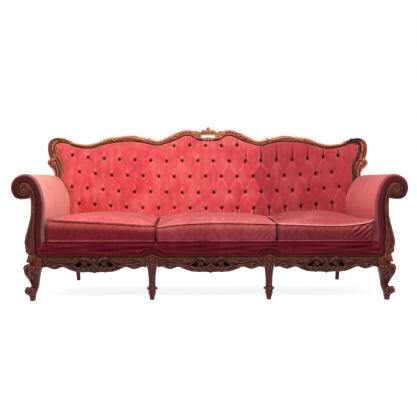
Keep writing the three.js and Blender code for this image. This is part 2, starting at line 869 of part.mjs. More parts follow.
// Back: edges as [x share of the ear's distance, height share], from the middle outwards
const crestTopShares = [
  [0.087, 0.985],
  [0.11, 1.0],
  [0.143, 1.009],
  [0.178, 1.006],
  [0.21, 0.994],
  [0.253, 0.961],
  [0.297, 0.932],
  [0.369, 0.903],
  [0.43, 0.92],
  [0.474, 0.932],
  [0.556, 0.955],
  [0.65, 0.941],
  [0.694, 0.932],
  [0.738, 0.92],
  [0.78, 0.899],
  [0.826, 0.88],
  [0.887, 0.866],
  [0.958, 0.876],
  [1.001, 0.893],
];
const crestLowShares = [
  [0, 0.9],
  [0.074, 0.909],
  [0.124, 0.942],
  [0.169, 0.948],
  [0.233, 0.909],
  [0.306, 0.875],
  [0.385, 0.852],
  [0.452, 0.875],
  [0.559, 0.894],
  [0.689, 0.88],
  [0.776, 0.856],
  [0.863, 0.823],
  [0.958, 0.837],
  [1.001, 0.854],
  [1.051, 0.871],
  [1.109, 0.864],
];
const backPoint = ([across, up]) => [across * earX, up * backHigh];
const crestTop = smooth(crestTopShares.map(backPoint), 38);
const crestLow = smooth(crestLowShares.map(backPoint), 38);
const crestFrom = cartoucheHalf + gap;
const crestTo = earX - gap;
const crestUpper = between(crestTop, crestFrom, crestTo);
const crestLower = between(crestLow, crestFrom, crestTo);
const crestPlate = frontPlate(
  outline([...crestLower, ...reversed(crestUpper)]),
  -crestProud,
  crestProud - gap,
);
const crestRear = frontPlate(
  outline([...raised(crestLower, topRailLap + gap), ...reversed(raised(crestUpper, -crestSetIn))]),
  -overrun,
  backFrameThick + overrun,
);
const crestRope = rope(
  raised(between(crestTop, crestFrom + carvingRadius, crestTo - carvingRadius), -carvingRadius),
  -crestProud,
  carvingRadius,
  28,
);
const leafHighShare = 0.47; // of the crest's height there
const leafSunkShare = 0.65; // of the leaf's height
function crestLeaf(acrossShare, wide) {
  const x = acrossShare * earX;
  const high = (heightAt(crestTop, x) - heightAt(crestLow, x)) * leafHighShare;
  return boss(x, -crestProud, heightAt(crestTop, x) - high * leafSunkShare, wide, high);
}
const shoulderLeafShare = 0.27;
const outerLeafShare = 0.74;
const shoulderLeafWideShare = 0.077;
const outerLeafWideShare = 0.068;
const shoulderLeafWide = earX * shoulderLeafWideShare;
const outerLeafWide = earX * outerLeafWideShare;
const crestRail = join(
  crestPlate,
  crestRear,
  crestRope,
  crestLeaf(shoulderLeafShare, shoulderLeafWide),
  crestLeaf(outerLeafShare, outerLeafWide),
);
placePair("crest_rail", crestRail, showWood, backRight, backLeft);

// Pierced middle of the crest with its finial, as [share of its half width, height share]
const cartoucheTopShares = [
  [-1, 0.985],
  [-0.78, 0.985],
  [-0.45, 0.99],
  [-0.33, 1.0],
  [-0.18, 1.0],
  [-0.12, 1.028],
  [0, 1.036],
  [0.12, 1.028],
  [0.18, 1.0],
  [0.33, 1.0],
  [0.45, 0.99],
  [0.78, 0.985],
  [1, 0.985],
];
const cartoucheLow = between(crestLow, 0, cartoucheHalf);
const cartoucheShape = outline([
  ...mirrored(cartoucheLow).slice(0, -1),
  ...cartoucheLow,
  ...reversed(cartoucheTopShares).map(([across, up]) => [across * cartoucheHalf, up * backHigh]),
]);
const holeTopShare = 0.97;
const holeTaperShare = 0.84;
const holeTop = backHigh * holeTopShare;
const holeFoot = holeTop - cartoucheHoleHeight;
const holeUpperHalf = cartoucheHoleHalf * holeTaperShare;
const cartoucheHole = [
  [-cartoucheHoleHalf, holeFoot],
  [cartoucheHoleHalf, holeFoot],
  [holeUpperHalf, holeTop],
  [-holeUpperHalf, holeTop],
];
cartoucheShape.holes.push(new THREE.Path(cartoucheHole.map(([x, z]) => new THREE.Vector2(x, z))));
const cartoucheRearShares = [0.91, 0.982]; // foot and top of the thicker part
const [rearFoot, rearTop] = cartoucheRearShares.map((up) => up * backHigh);
const cartoucheRear = cut(
  boxBetween(
    -cartoucheHalf,
    cartoucheHalf,
    -overrun,
    backFrameThick * half,
    rearFoot + topRailLap,
    rearTop,
  ),
  boxBetween(-cartoucheHoleHalf, cartoucheHoleHalf, -crestProud, backFrameThick, holeFoot, holeTop),
  frontPlate(
    outline([
      ...raised([...mirrored(cartoucheLow).slice(0, -1), ...cartoucheLow], topRailLap + gap),
      [cartoucheHalf + overrun, backHigh * half],
      [-cartoucheHalf - overrun, backHigh * half],
    ]),
    -overrun - gap,
    backFrameThick + overrun + overrun,
  ),
);
const cartoucheBossShares = [0.927, 0.5, 0.15]; // height, wide, high
const [cartoucheBossUp, cartoucheBossWide, cartoucheBossHigh] = cartoucheBossShares;
const cartouche = join(
  frontPlate(cartoucheShape, -crestProud, crestProud - gap),
  cartoucheRear,
  boss(
    0,
    -crestProud,
    backHigh * cartoucheBossUp,
    cartoucheHalf * cartoucheBossWide,
    cartoucheHalf * cartoucheBossHigh,
  ),
);
place(back, "crest_cartouche", cartouche, showWood);

// Stiles: show wood from the ear scroll down behind the arm
const stileOuterShares = [
  [1.041, 0.91],
  [1.101, 0.926],
  [1.132, 0.916],
  [1.154, 0.896],
  [1.167, 0.84],
  [1.168, 0.803],
  [1.16, 0.754],
  [1.148, 0.724],
  [1.164, 0.674],
  [1.148, 0.65],
  [1.116, 0.608],
  [1.109, 0.547],
  [1.104, 0.5],
];
const stileInnerShares = [
  [1.109, 0.864],
  [1.1, 0.791],
  [1.083, 0.73],
  [1.059, 0.68],
  [1.049, 0.607],
  [1.056, 0.56],
  [1.05, 0.5],
  [1.03, 0.46],
  [1.008, 0.41],
];
const stileOuter = smooth(stileOuterShares.map(backPoint), 30);
const stileInner = smooth(stileInnerShares.map(backPoint), 18);
const stileEar = between(crestLow, earX + gap, stileInner[0][0]);
const stilePlate = frontPlate(
  outline([
    [earX + gap, heightAt(crestTop, earX)],
    ...stileOuter,
    [sideRailOutX, stileOuter.at(-1)[1]],
    [sideRailOutX, 0],
    [postInnerX, 0],
    [postInnerX, stileInner.at(-1)[1]],
    ...reversed(stileInner).slice(0, -1),
    ...reversed(stileEar),
  ]),
  -crestProud,
  crestProud - gap,
);
const earCentreShares = [1.132, 0.886];
const earScrollShare = 0.24; // of the facing's reach
const earScrollTurns = [0.6, -0.35];
const earCentre = backPoint(earCentreShares);
const earScroll = arc(...earCentre, facingReach * earScrollShare, ...earScrollTurns, 8);
const stileBead = stileOuter.slice(1, -6).map(([x, z]) => [x - carvingRadius, z - carvingRadius * half]);
const stile = join(
  stilePlate,
  rope(stileBead, -crestProud, carvingRadius, 18),
  rope(earScroll, -crestProud, carvingRadius, 10),
);
placePair("stile", stile, showWood, backRight, backLeft);

// Back frame behind the show wood
const railCrown = raised(crestLow, topRailLap);
const postShares = [
  [0.62, 0.0],
  [0.72, 0.012],
  [0.8, 0.035],
  [0.87, 0.035],
];
const postOutline = [
  [postInnerX, 0],
  [sideRailOutX, 0],
  ...postShares.map(([up, out]) => [sideRailOutX + out * earX, up * backHigh]),
  [postInnerX, heightAt(railCrown, postInnerX)],
];
placePair(
  "back_post",
  frontPlate(outline(postOutline), 0, backFrameThick),
  frameWood,
  backRight,
  backLeft,
);

const innerHalf = postInnerX - gap;
const bottomRail = boxBetween(-innerHalf, innerHalf, 0, backFrameThick, 0, bottomRailHeight);
place(back, "back_bottom_rail", bottomRail, frameWood);
const crestDip = Math.min(...crestLow.map(([, z]) => z));
const railFoot = crestDip - topRailDeep;
const railUpper = between(railCrown, 0, innerHalf);
const railUpperWhole = [...mirrored(railUpper).slice(0, -1), ...railUpper];
const topRail = outline([[-innerHalf, railFoot], [innerHalf, railFoot], ...reversed(railUpperWhole)]);
place(back, "back_top_rail", frontPlate(topRail, 0, backFrameThick), frameWood);
const mullion = boxBetween(
  mullionX - mullionWide * half,
  mullionX + mullionWide * half,
  0,
  backFrameThick,
  bottomRailHeight + gap,
  railFoot - gap,
);
placePair("back_mullion", mullion, frameWood, backRight, backLeft);

// The pad fills the back between the arms and the stiles; sides listed as [height, half width]
const padMargin = 2.6;
const columnsPerPitch = 4;
const padColumn = buttonPitch / columnsPerPitch;
const besideArm = armSplayed(1)
  .slice(0, armTopIndex)
  .map(([x, z]) => [(z - backFootZ) / Math.cos(backRake), x - padMargin]);
besideArm.push([backHigh, earX + backHigh]);
const besideStile = [
  [0, postInnerX - gap],
  [stileInner.at(-1)[1] - gap, postInnerX - gap],
  ...reversed(stileInner).map(([x, z]) => [z, x - padMargin]),
];
const padSideReach = 27; // the narrowest place this far up or down counts
const padHalfAt = (z) =>
  Math.min(
    ...[-1, -half, 0, half, 1]
      .map((share) => z + share * padSideReach)
      .flatMap((at) => [heightAt(besideArm, at), heightAt(besideStile, at)]),
  );
const padTopAt = (x) => {
  const [left, here, right] = [-padColumn, 0, padColumn].map((by) => heightAt(crestLow, Math.abs(x + by)));
  const hollow = Math.max(0, (left + right) * half - here); // a straight chord would cut through the crest
  return here - padMargin - hollow * half;
};
const rowHeight = (row, x) =>
  firstButtonRow + row * buttonRowPitch + buttonRowSweep * (Math.abs(x) / rearLegX) ** 3;

// Buttons sit at the corners of a net of diamonds; folds run along its lines
const shortRowReach = 2.5; // pitches
const foldSharpness = 7;
const settlingPasses = 6; // to find where a row meets the pad's edge
function tuftDepth(x, z) {
  const row = (z - rowHeight(0, x)) / buttonRowPitch;
  const column = x / buttonPitch;
  const off = (value) => Math.abs(value - Math.round(value));
  const fold = Math.min(off(column + row * half), off(column - row * half));
  const low = THREE.MathUtils.smoothstep(row, -half, 0);
  const high = 1 - THREE.MathUtils.smoothstep(row, fullButtonRows - 1, fullButtonRows);
  let depth = foldDepth * Math.exp(-((fold * foldSharpness) ** 2)) * low * high;
  for (let r = 0; r <= fullButtonRows; r++) {
    const shift = r % 2 ? half : 0;
    const at = (Math.round(column - shift) + shift) * buttonPitch;
    const missing = r === fullButtonRows && Math.abs(at) > buttonPitch * shortRowReach;
    const far = Math.hypot(x - at, z - rowHeight(r, x)) / buttonSpread;
    if (!missing) depth += buttonDepth * Math.exp(-(far ** 2));
  }
  return depth;
}

const padBase = -gap - webbingThick - gap;
const padWaist = Math.min(...besideArm.map(([, x]) => x)); // where the arms come closest
const padColumns = Math.floor(padWaist / padColumn); // on each side
const padSideShares = [0.36, 0.72, 1];
const padFootShares = [0, 0.5];
const padRowLevels = [0, 0.5, 1, 1.5, 2, 2.5, 3];
const padTopShares = [0.35, 0.68, 0.88, 1];

function buildBackPad() {
  const columns = [];
  for (let i = -padColumns; i <= padColumns; i++) columns.push({ i, out: 0 });
  for (const out of padSideShares) {
    columns.push({ i: padColumns, out });
    columns.unshift({ i: -padColumns, out });
  }
  const rows = [
    ...padFootShares.map((foot) => (x) => foot * rowHeight(0, x)),
    ...padRowLevels.map((level) => (x) => rowHeight(level, x)),
    ...padTopShares.map((top) => (x) =>
      THREE.MathUtils.lerp(rowHeight(padRowLevels.at(-1), x), padTopAt(x), top),
    ),
  ];
  const points = [];
  for (const heightFor of rows)
    for (const { i, out } of columns) {
      const inner = Math.abs(i) * padColumn;
      let x = inner;
      for (let pass = 0; out && pass < settlingPasses; pass++)
        x = THREE.MathUtils.lerp(inner, padHalfAt(heightFor(x)), out);
      const z = heightFor(x);
      const inset = Math.max(0, Math.min(padHalfAt(z) - x, padTopAt(x) - z, z));
      const round = Math.sqrt(1 - (1 - Math.min(1, inset / backEdgeFade)) ** 2);
      const swell = THREE.MathUtils.lerp(backPadEdge, backPadThick, round);
      points.push(x * (i < 0 ? -1 : 1), padBase - swell + tuftDepth(x, z) * round, z);
    }
  const wide = columns.length;
  const at = (row, column) => row * wide + column;
  const depthOf = (i) => points[3 * i + 1];
  const faces = [];
  for (let r = 0; r + 1 < rows.length; r++)
    for (let c = 0; c + 1 < wide; c++) {
      const [a, b, d, e] = [at(r, c), at(r, c + 1), at(r + 1, c), at(r + 1, c + 1)];
      if (depthOf(a) + depthOf(e) > depthOf(b) + depthOf(d)) faces.push(a, b, e, a, e, d);
      else faces.push(a, b, d, b, e, d);
    }
  const rim = [];
  for (let c = 0; c < wide; c++) rim.push(at(0, c));
  for (let r = 1; r < rows.length; r++) rim.push(at(r, wide - 1));
  for (let c = wide - 2; c >= 0; c--) rim.push(at(rows.length - 1, c));
  for (let r = rows.length - 2; r > 0; r--) rim.push(at(r, 0));
  const behind = points.length / 3;
  const flat = rim.map((i) => new THREE.Vector2(points[3 * i], points[3 * i + 2]));
  for (const p of flat) points.push(p.x, padBase, p.y);
  rim.forEach((a, i) => {
    const j = (i + 1) % rim.length;
    faces.push(a, behind + i, behind + j, a, behind + j, rim[j]);
  });
  for (const [a, b, c] of filled(flat, THREE.ShapeUtils.area(flat)))
    faces.push(behind + a, behind + c, behind + b);
  return facingOut(points, faces);
}
place(back, "back_pad", buildBackPad(), velvet);

const backWebHalf = padHalfAt(0);
const backWebTop = crestDip - padMargin;
const backWeb = lattice(
  -backWebHalf,
  backWebHalf,
  gap,
  backWebTop,
  backStrapsUp,
  backStrapsAcross,
  gap,
).rotateX(Math.PI * half);
place(back, "back_webbing", backWeb, jute);

// Braid along the crest's lower edge
const backGimpHalf = stileInner[0][0] - backGimpWide * 4;
const backGimpRight = raised(between(crestLow, 0, backGimpHalf), backGimpWide * half + gap);
const backGimp = ribbon(
  [...mirrored(backGimpRight).slice(0, -1), ...backGimpRight],
  backGimpWide,
  -crestProud - gap - backGimpThick,
  backGimpThick,
);
place(back, "back_gimp", backGimp, braid);

// Cloth over the rear of the back and over the rear rail
const outsideBackRight = [
  [sideRailOutX - gap, gap],
  ...postShares.map(([up, out]) => [sideRailOutX + out * earX - gap, up * backHigh - gap]),
  ...reversed(raised(between(railCrown, 0, postInnerX), -gap)),
];
const outsideBack = frontPlate(
  outline([...outsideBackRight, ...mirrored(outsideBackRight).slice(1)]),
  backFrameThick + gap,
  outsideBackThick,
);
place(back, "outside_back", outsideBack, velvet);
const rearBorder = boxBetween(
  -sideRailOutX,
  sideRailOutX,
  rearRailBackY + gap,
  rearRailBackY + gap + outsideBackThick,
  legHeight,
  railTop - outsideBackThick,
);
place(root, "rear_border", rearBorder, velvet);

// Loose cushions: rings as [height share of the seam height, inset share, draw share]
const cushionRingShares = [
  [0, 1, 0.2],
  [0.045, 0, 0.2],
  [0.16, 0.5, 0.55],
  [0.5, 0.9, 1],
  [0.84, 0.5, 0.55],
  [0.955, 0, 0.2],
];
const coreRingShares = [
  [0, 0, 0.2],
  [1, 0, 0.2],
];
// and over the crown as [share of the plan, share of the crown]
const crownShares = [
  [0.98, 0.2],
  [0.86, 0.56],
  [0.6, 0.88],
  [0.25, 1],
];
const sideSteps = 4;
const cornerSteps = 3;

// A quadrilateral seen from above with round corners, its sides drawn in
function cushionPlan(corners, inset, draw) {
  const [x0, x1Front, x1Rear, y0, y1] = corners;
  const round = cushionCornerRound - inset;
  const slant = (x1Rear - x1Front) / (y1 - y0);
  const right = (y) => x1Front + slant * (y - y0) - inset;
  const centres = [
    [right(y0 + cushionCornerRound) - round, y0 + cushionCornerRound, -0.25],
    [right(y1 - cushionCornerRound) - round, y1 - cushionCornerRound, 0],
    [x0 + inset + round, y1 - cushionCornerRound, 0.25],
    [x0 + inset + round, y0 + cushionCornerRound, 0.5],
  ];
  const pulls = [[-1, 0], [0, -1], [1, 0], [0, 1]];
  return centres.flatMap(([cx, cy, turn], k) => {
    const corner = arc(cx, cy, round, turn, turn + 0.25, cornerSteps);
    const [nx, ny, nextTurn] = centres[(k + 1) % centres.length];
    const [from, to] = [corner.at(-1), arc(nx, ny, round, nextTurn, nextTurn, 1)[0]];
    const side = [];
    for (let i = 1; i < sideSteps; i++) {
      const share = i / sideSteps;
      const pull = draw * Math.sin(Math.PI * share);
      side.push([
        THREE.MathUtils.lerp(from[0], to[0], share) + pulls[k][0] * pull,
        THREE.MathUtils.lerp(from[1], to[1], share) + pulls[k][1] * pull,
      ]);
    }
    return [...corner, ...side];
  });
}

function cushionSolid(corners, shrink, ringShares) {
  const foot = cushionBase + shrink;
  const seam = cushionBase + cushionHeight - shrink * half;
  const rings = ringShares.map(([up, inset, draw]) =>
    cushionPlan(corners, inset * cushionEdgeRound + shrink, draw * cushionDraw).map(
      ([x, y]) => new THREE.Vector3(x, y, THREE.MathUtils.lerp(foot, seam, up)),
    ),
  );
  const [x0, x1Front, x1Rear, y0, y1] = corners;
  const middle = [(x0 + (x1Front + x1Rear) * half) * half, (y0 + y1) * half];
  const top = rings.at(-1);
  for (const [share, crown] of crownShares)
    rings.push(
      top.map(
        (p) =>
          new THREE.Vector3(
            THREE.MathUtils.lerp(middle[0], p.x, share),
            THREE.MathUtils.lerp(middle[1], p.y, share),
            p.z + crown * (cushionCrown - shrink * half),
          ),
      ),
    );
  return loft(rings, seenFromAbove);
}

function placeCushion(group, side, x0, x1Front, x1Rear) {
  const corners = [x0, x1Front, x1Rear, cushionFrontY, cushionRearY];
  const full = cushionSolid(corners, 0, cushionRingShares);
  const hollow = cushionSolid(corners, coreInset, coreRingShares);
  const core = cushionSolid(corners, coreInset + coreGap, coreRingShares);
  const zipZ = cushionBase + cushionHeight * half;
  const zip = boxBetween(
    x0 + zipInset,
    x1Rear - zipInset,
    cushionRearY - coreInset * 2,
    cushionRearY + overrun,
    zipZ - zipHeight * half,
    zipZ + zipHeight * half,
  );
  place(group, "cushion_cover_" + side, cut(full, hollow, zip), velvet);
  place(group, "cushion_core_" + side, core, foam);
}
const slotShares = [0.334, 0.403]; // left and right slot, of the row's half width, as the cushions lie
const [leftSlotX, rightSlotX] = slotShares.map((share) => share * cushionRowHalf);
const slotHalf = cushionSlot * half;
const cushionTaper = armFaceX(cushionRearY) - seatHalfWidth;
placeCushion(root, "middle", slotHalf - leftSlotX, rightSlotX - slotHalf, rightSlotX - slotHalf);
placeCushion(rightSide, "right", rightSlotX + slotHalf, cushionRowHalf, cushionRowHalf + cushionTaper);
placeCushion(leftSide, "left", leftSlotX + slotHalf, cushionRowHalf, cushionRowHalf + cushionTaper);

export default root;
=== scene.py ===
import json
import math

import bpy
import numpy as np
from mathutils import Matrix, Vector
from mathutils.geometry import tessellate_polygon


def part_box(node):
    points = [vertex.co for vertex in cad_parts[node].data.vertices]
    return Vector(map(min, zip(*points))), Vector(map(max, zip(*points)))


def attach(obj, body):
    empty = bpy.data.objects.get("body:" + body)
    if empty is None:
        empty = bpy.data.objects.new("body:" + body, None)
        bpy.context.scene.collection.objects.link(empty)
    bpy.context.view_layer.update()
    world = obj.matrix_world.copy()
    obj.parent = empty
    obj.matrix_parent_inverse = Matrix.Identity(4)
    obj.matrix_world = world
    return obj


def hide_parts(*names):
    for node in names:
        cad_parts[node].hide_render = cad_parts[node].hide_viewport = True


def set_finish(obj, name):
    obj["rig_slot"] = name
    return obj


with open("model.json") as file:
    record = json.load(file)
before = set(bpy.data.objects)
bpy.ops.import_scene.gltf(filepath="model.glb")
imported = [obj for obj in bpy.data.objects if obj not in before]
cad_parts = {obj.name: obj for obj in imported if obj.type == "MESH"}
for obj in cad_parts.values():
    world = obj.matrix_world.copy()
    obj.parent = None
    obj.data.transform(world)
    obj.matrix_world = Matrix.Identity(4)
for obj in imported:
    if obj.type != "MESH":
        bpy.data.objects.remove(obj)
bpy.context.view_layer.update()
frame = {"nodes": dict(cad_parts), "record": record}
mm = 0.001


# Camera, lamps, floor

cameraSetup = {"place": (-0.088, -4.244, 0.742), "tilt": 86.71, "turn": -1.12, "lens": 59.3}
# where each lamp stands, where it points, its size, power and tint
lampSetup = {
    "key": ((0.7, -2.6, 3.4), (-0.1, 0.1, 0.5), 1.7, 100, (1, 0.97, 0.94)),
    "fill": ((-2.6, -3.4, 2.0), (0, 0, 0.5), 2.2, 26, (1, 0.98, 0.97)),
    "rear": ((0.4, 3.4, 2.6), (0, 0.2, 0.6), 2.4, 45, (1, 1, 1)),
}
stageSetup = {"ambient": 0.42, "floorSize": 60.0, "floorTone": 0.8, "floorFleck": 1.02, "floorGlow": 0.8}


def newObject(name, data):
    thing = bpy.data.objects.new(name, data)
    bpy.context.scene.collection.objects.link(thing)
    return thing


def makeCamera():
    camera = newObject("camera", bpy.data.cameras.new("camera"))
    camera.data.lens = cameraSetup["lens"]
    camera.location = cameraSetup["place"]
    camera.rotation_euler = (math.radians(cameraSetup["tilt"]), 0, math.radians(cameraSetup["turn"]))
    bpy.context.scene.camera = camera


def makeLamps():
    for name, (place, aim, size, power, tint) in lampSetup.items():
        lamp = newObject(name, bpy.data.lights.new(name, "AREA"))
        lamp.data.shape = "DISK"
        lamp.data.size = size
        lamp.data.energy = power
        lamp.data.color = tint
        lamp.location = place
        lamp.rotation_euler = (Vector(aim) - Vector(place)).to_track_quat("-Z", "Y").to_euler()


# Node helpers


def connect(tree, value, socket):
    if isinstance(value, bpy.types.NodeSocket):
        tree.links.new(value, socket)
    else:
        socket.default_value = value


def put(tree, kind, inputs=None, **settings):
    node = tree.nodes.new("ShaderNode" + kind)
    for key, value in settings.items():
        setattr(node, key, value)
    for key, value in (inputs or {}).items():
        connect(tree, value, node.inputs[key])
    return node


def maths(tree, operation, a, b=0.0):
    return put(tree, "Math", {0: a, 1: b}, operation=operation).outputs[0]


def layered(tree, base, *layers):
    # a base value plus each layer's swing about its own middle, times its share
    for source, middle, share in layers:
        swing = maths(tree, "MULTIPLY", maths(tree, "SUBTRACT", source, middle), share)
        base = maths(tree, "ADD", base, swing)
    return base


def ramp(tree, factor, stops):
    node = put(tree, "ValToRGB", {0: factor})
    elements = node.color_ramp.elements
    while len(elements) < len(stops):
        elements.new(0.5)
    for element, (position, color) in zip(elements, stops):
        element.position = position
        element.color = (*color, 1)
    return node.outputs[0]


def noise(tree, place, scale, detail=4.0, stretch=(1, 1, 1), distortion=0.0):
    spread = put(tree, "Mapping", {"Vector": place, "Scale": stretch}).outputs[0]
    inputs = {"Vector": spread, "Scale": scale, "Detail": detail, "Distortion": distortion}
    return put(tree, "TexNoise", inputs).outputs[0]


def attribute(tree, name):
    return put(tree, "Attribute", attribute_name=name).outputs["Fac"]


def newMaterial(name, **sockets):
    material = bpy.data.materials.new(name)
    material.use_nodes = True
    tree = material.node_tree
    shader = tree.nodes["Principled BSDF"]
    for key, value in sockets.items():
        shader.inputs[key.replace("_", " ")].default_value = value
    return material, tree, shader, put(tree, "TexCoord").outputs["Object"]


def surfaced(tree, shader, color, height, distance, strength):
    # the colour of a surface, and its fine relief
    tree.links.new(color, shader.inputs["Base Color"])
    node = put(tree, "Bump", {"Height": height, "Distance": distance, "Strength": strength})
    tree.links.new(node.outputs[0], shader.inputs["Normal"])


# Finishes

pileLook = {
    "patchScale": 6.5, "patches": 0.55, "brushScale": 26, "brushStretch": (1, 0.6, 0.28), "threadScale": 1300,
    "threads": 0.25, "ridge": 0.5, "shadow": 0.12, "stops": (0.0, 0.14, 0.5, 0.95), "tint": (1, 0.72, 0.7, 1),
}
# deep, middle and light pile of each velvet. Several are lighter and darker copies of one velvet, as painted
# light and shade:
# the seats lighter towards the left, the lit arm, and the dark border under the seats and dark buttons
velvets = {
    "back": ((0.4, 0.022, 0.034), (0.75, 0.072, 0.085), (0.93, 0.24, 0.22)),
    "leftSeat": ((0.5, 0.055, 0.065), (0.77, 0.145, 0.145), (0.95, 0.35, 0.32)),
    "middleSeat": ((0.42, 0.05, 0.065), (0.69, 0.13, 0.138), (0.92, 0.32, 0.31)),
    "rightSeat": ((0.3, 0.03, 0.042), (0.48, 0.075, 0.085), (0.8, 0.25, 0.24)),
    "piping": ((0.2, 0.016, 0.024), (0.55, 0.1, 0.11), (0.9, 0.36, 0.33)),
    "faded": ((0.72, 0.18, 0.16), (0.98, 0.42, 0.36), (1.0, 0.6, 0.52)),
    "arm": ((0.55, 0.068, 0.08), (0.88, 0.185, 0.185), (0.97, 0.3, 0.28)),
    "border": ((0.055, 0.003, 0.007), (0.105, 0.007, 0.014), (0.2, 0.016, 0.03)),
    "lining": ((0.012, 0.002, 0.003), (0.03, 0.003, 0.005), (0.07, 0.007, 0.012)),
    "outside": ((0.34, 0.02, 0.036), (0.6, 0.055, 0.08), (0.82, 0.17, 0.18)),
    "button": ((0.05, 0.004, 0.008), (0.15, 0.012, 0.02), (0.32, 0.03, 0.045)),
}
# what the colour is multiplied by where the nap attribute is set: painted shade on the seats' boxing,
# on the arms' front and top faces and on the back's right side, and a turned nap past the back's seam; then
# brush streaks and sheen
napShadeAndSheen = {
    "back": {"turned": (0.58, 0.42, 0.55)},
    "leftSeat": {"turned": (0.22, 0.085, 0.145), "streak": 0.05, "sheen": 0.08},
    "middleSeat": {"turned": (0.39, 0.26, 0.36), "streak": 0.05, "sheen": 0.08},
    "rightSeat": {"turned": (0.34, 0.25, 0.33), "streak": 0.05, "sheen": 0.08},
    "piping": {"sheen": 0.04},
    "faded": {"turned": (0.09, 0.012, 0.03), "streak": 0.1, "sheen": 0.22},
    "arm": {"turned": (0.12, 0.035, 0.1), "streak": 0.1, "sheen": 0.2},
    "border": {"sheen": 0.02},
    "lining": {"sheen": 0.05},
    "button": {"sheen": 0.1},
}
grainLook = {
    "lineScale": 90, "lines": 0.42, "cloudScale": 11, "clouds": 0.5, "scuffScale": 160, "ridge": 0.62,
    "stops": (0.05, 0.42, 0.92), "specularTint": (1, 0.5, 0.36, 1), "smooth": 0.27, "dull": 0.46,
}
grainAlongX, grainAlongZ = (0.06, 1, 1), (1, 1, 0.06)
# dark, middle and light of each wood, the way of its grain, and how far wear lightens its edges and painted
# shade darkens its hollows.
# How light each wood is stands partly for painted light and shade: the crest on top is lightest, the apron
# under the seat darkest
woods = {
    "crest": ((0.07, 0.016, 0.009), (0.35, 0.092, 0.048), (0.82, 0.32, 0.16), grainAlongX, 0.9),
    "stile": ((0.05, 0.011, 0.007), (0.26, 0.062, 0.036), (0.62, 0.2, 0.1), grainAlongZ, 0.9),
    "facing": ((0.012, 0.002, 0.002), (0.054, 0.009, 0.007), (0.21, 0.045, 0.03), grainAlongZ, 0.85),
    "leg": ((0.006, 0.001, 0.001), (0.034, 0.006, 0.005), (0.155, 0.03, 0.024), grainAlongZ, 1.2),
    "apron": ((0.003, 0.001, 0.001), (0.012, 0.003, 0.003), (0.115, 0.026, 0.02), grainAlongX, 1.3),
}


def velvet(name, deep, middle, light, turned=None, streak=0.2, sheen=0.35):
    v = pileLook
    material, tree, shader, place = newMaterial(
        name, Roughness=0.78, Sheen_Weight=sheen, Sheen_Roughness=0.4, Sheen_Tint=v["tint"],
        Specular_IOR_Level=0.5 * sheen
    )
    patches = noise(tree, place, v["patchScale"], 5, distortion=0.7)
    brushed = noise(tree, place, v["brushScale"], 4, stretch=v["brushStretch"])
    threads = noise(tree, place, v["threadScale"], 2)
    # the ridge attribute makes edges lighter and hollows darker, the hollows as painted shade, and brings the
    # painted marks set on each mesh
    tone = layered(
        tree, 0.5, (patches, 0.5, v["patches"]), (brushed, 0.5, streak * 2), (threads, 0.5, v["threads"]),
        (attribute(tree, "ridge"), 0, v["ridge"])
    )
    shadow = tuple(v["shadow"] * c for c in deep)
    color = ramp(tree, tone, list(zip(v["stops"], (shadow, deep, middle, light))))
    # darker where the nap attribute is set, mostly painted shade
    if turned:
        inputs = {0: attribute(tree, "nap"), 6: color, 7: (*turned, 1)}
        color = put(tree, "Mix", inputs, data_type="RGBA", blend_type="MULTIPLY").outputs[2]
    surfaced(tree, shader, color, threads, 0.0006, 0.35)
    return material


def polishedWood(name, dark, middle, light, grain, wearAndShade):
    w = grainLook
    material, tree, shader, place = newMaterial(
        name, Coat_Weight=0.07, Coat_Roughness=0.2, Specular_IOR_Level=0.3, Specular_Tint=w["specularTint"]
    )
    lines = noise(tree, place, w["lineScale"], 6, stretch=grain, distortion=0.4)
    clouds = noise(tree, place, w["cloudScale"], 4)
    scuffs = noise(tree, place, w["scuffScale"], 3)
    ridge = attribute(tree, "ridge")
    # edges lighter with wear, hollows darker as painted shade
    tone = layered(
        tree, 0.45, (ridge, 0, w["ridge"] * wearAndShade), (lines, 0.5, w["lines"]), (clouds, 0.5, w["clouds"])
    )
    rough = put(tree, "MapRange", {0: scuffs, 1: 0.3, 2: 0.7, 3: w["smooth"], 4: w["dull"]}).outputs[0]
    tree.links.new(rough, shader.inputs["Roughness"])
    surfaced(tree, shader, ramp(tree, tone, list(zip(w["stops"], (dark, middle, light)))), lines, 0.0008, 0.3)
    return material


def rawWood(name):
    material, tree, shader, place = newMaterial(name, Roughness=0.7)
    lines = noise(tree, place, 60, 6, stretch=(0.05, 1, 1), distortion=0.8)
    color = ramp(tree, lines, [(0.3, (0.32, 0.19, 0.1)), (0.6, (0.5, 0.33, 0.18)), (0.8, (0.6, 0.43, 0.26))])
    surfaced(tree, shader, color, lines, 0.0006, 0.4)
    return material


def woven(name, shade, bright, scale, sheen=0.2):
    sockets = {"Roughness": 0.9, "Sheen_Weight": sheen, "Specular_IOR_Level": sheen}
    material, tree, shader, place = newMaterial(name, **sockets)
    inputs = {"Vector": place, "Scale": scale, "Distortion": 0.6}
    waves = [put(tree, "TexWave", inputs, bands_direction=axis).outputs[1] for axis in "XYZ"]
    weave = layered(tree, 0, *[(wave, 0, 0.33) for wave in waves])
    dirt = noise(tree, place, 14, 4)
    # painted highlight on the braid's ribs and painted shade between them, by the ridge attribute
    factor = layered(tree, 0, (weave, 0, 0.6), (dirt, 0, 0.4), (attribute(tree, "ridge"), 0, 0.45))
    surfaced(tree, shader, ramp(tree, factor, [(0.2, shade), (0.85, bright)]), weave, 0.0008, 0.5)
    return material


def porous(name):
    material, tree, shader, place = newMaterial(name, Roughness=0.95, Subsurface_Weight=0.05)
    cells = put(tree, "TexVoronoi", {"Vector": place, "Scale": 420}).outputs[0]
    color = ramp(tree, cells, [(0.05, (0.62, 0.52, 0.3)), (0.5, (0.86, 0.79, 0.55))])
    surfaced(tree, shader, color, cells, 0.001, 0.6)
    return material


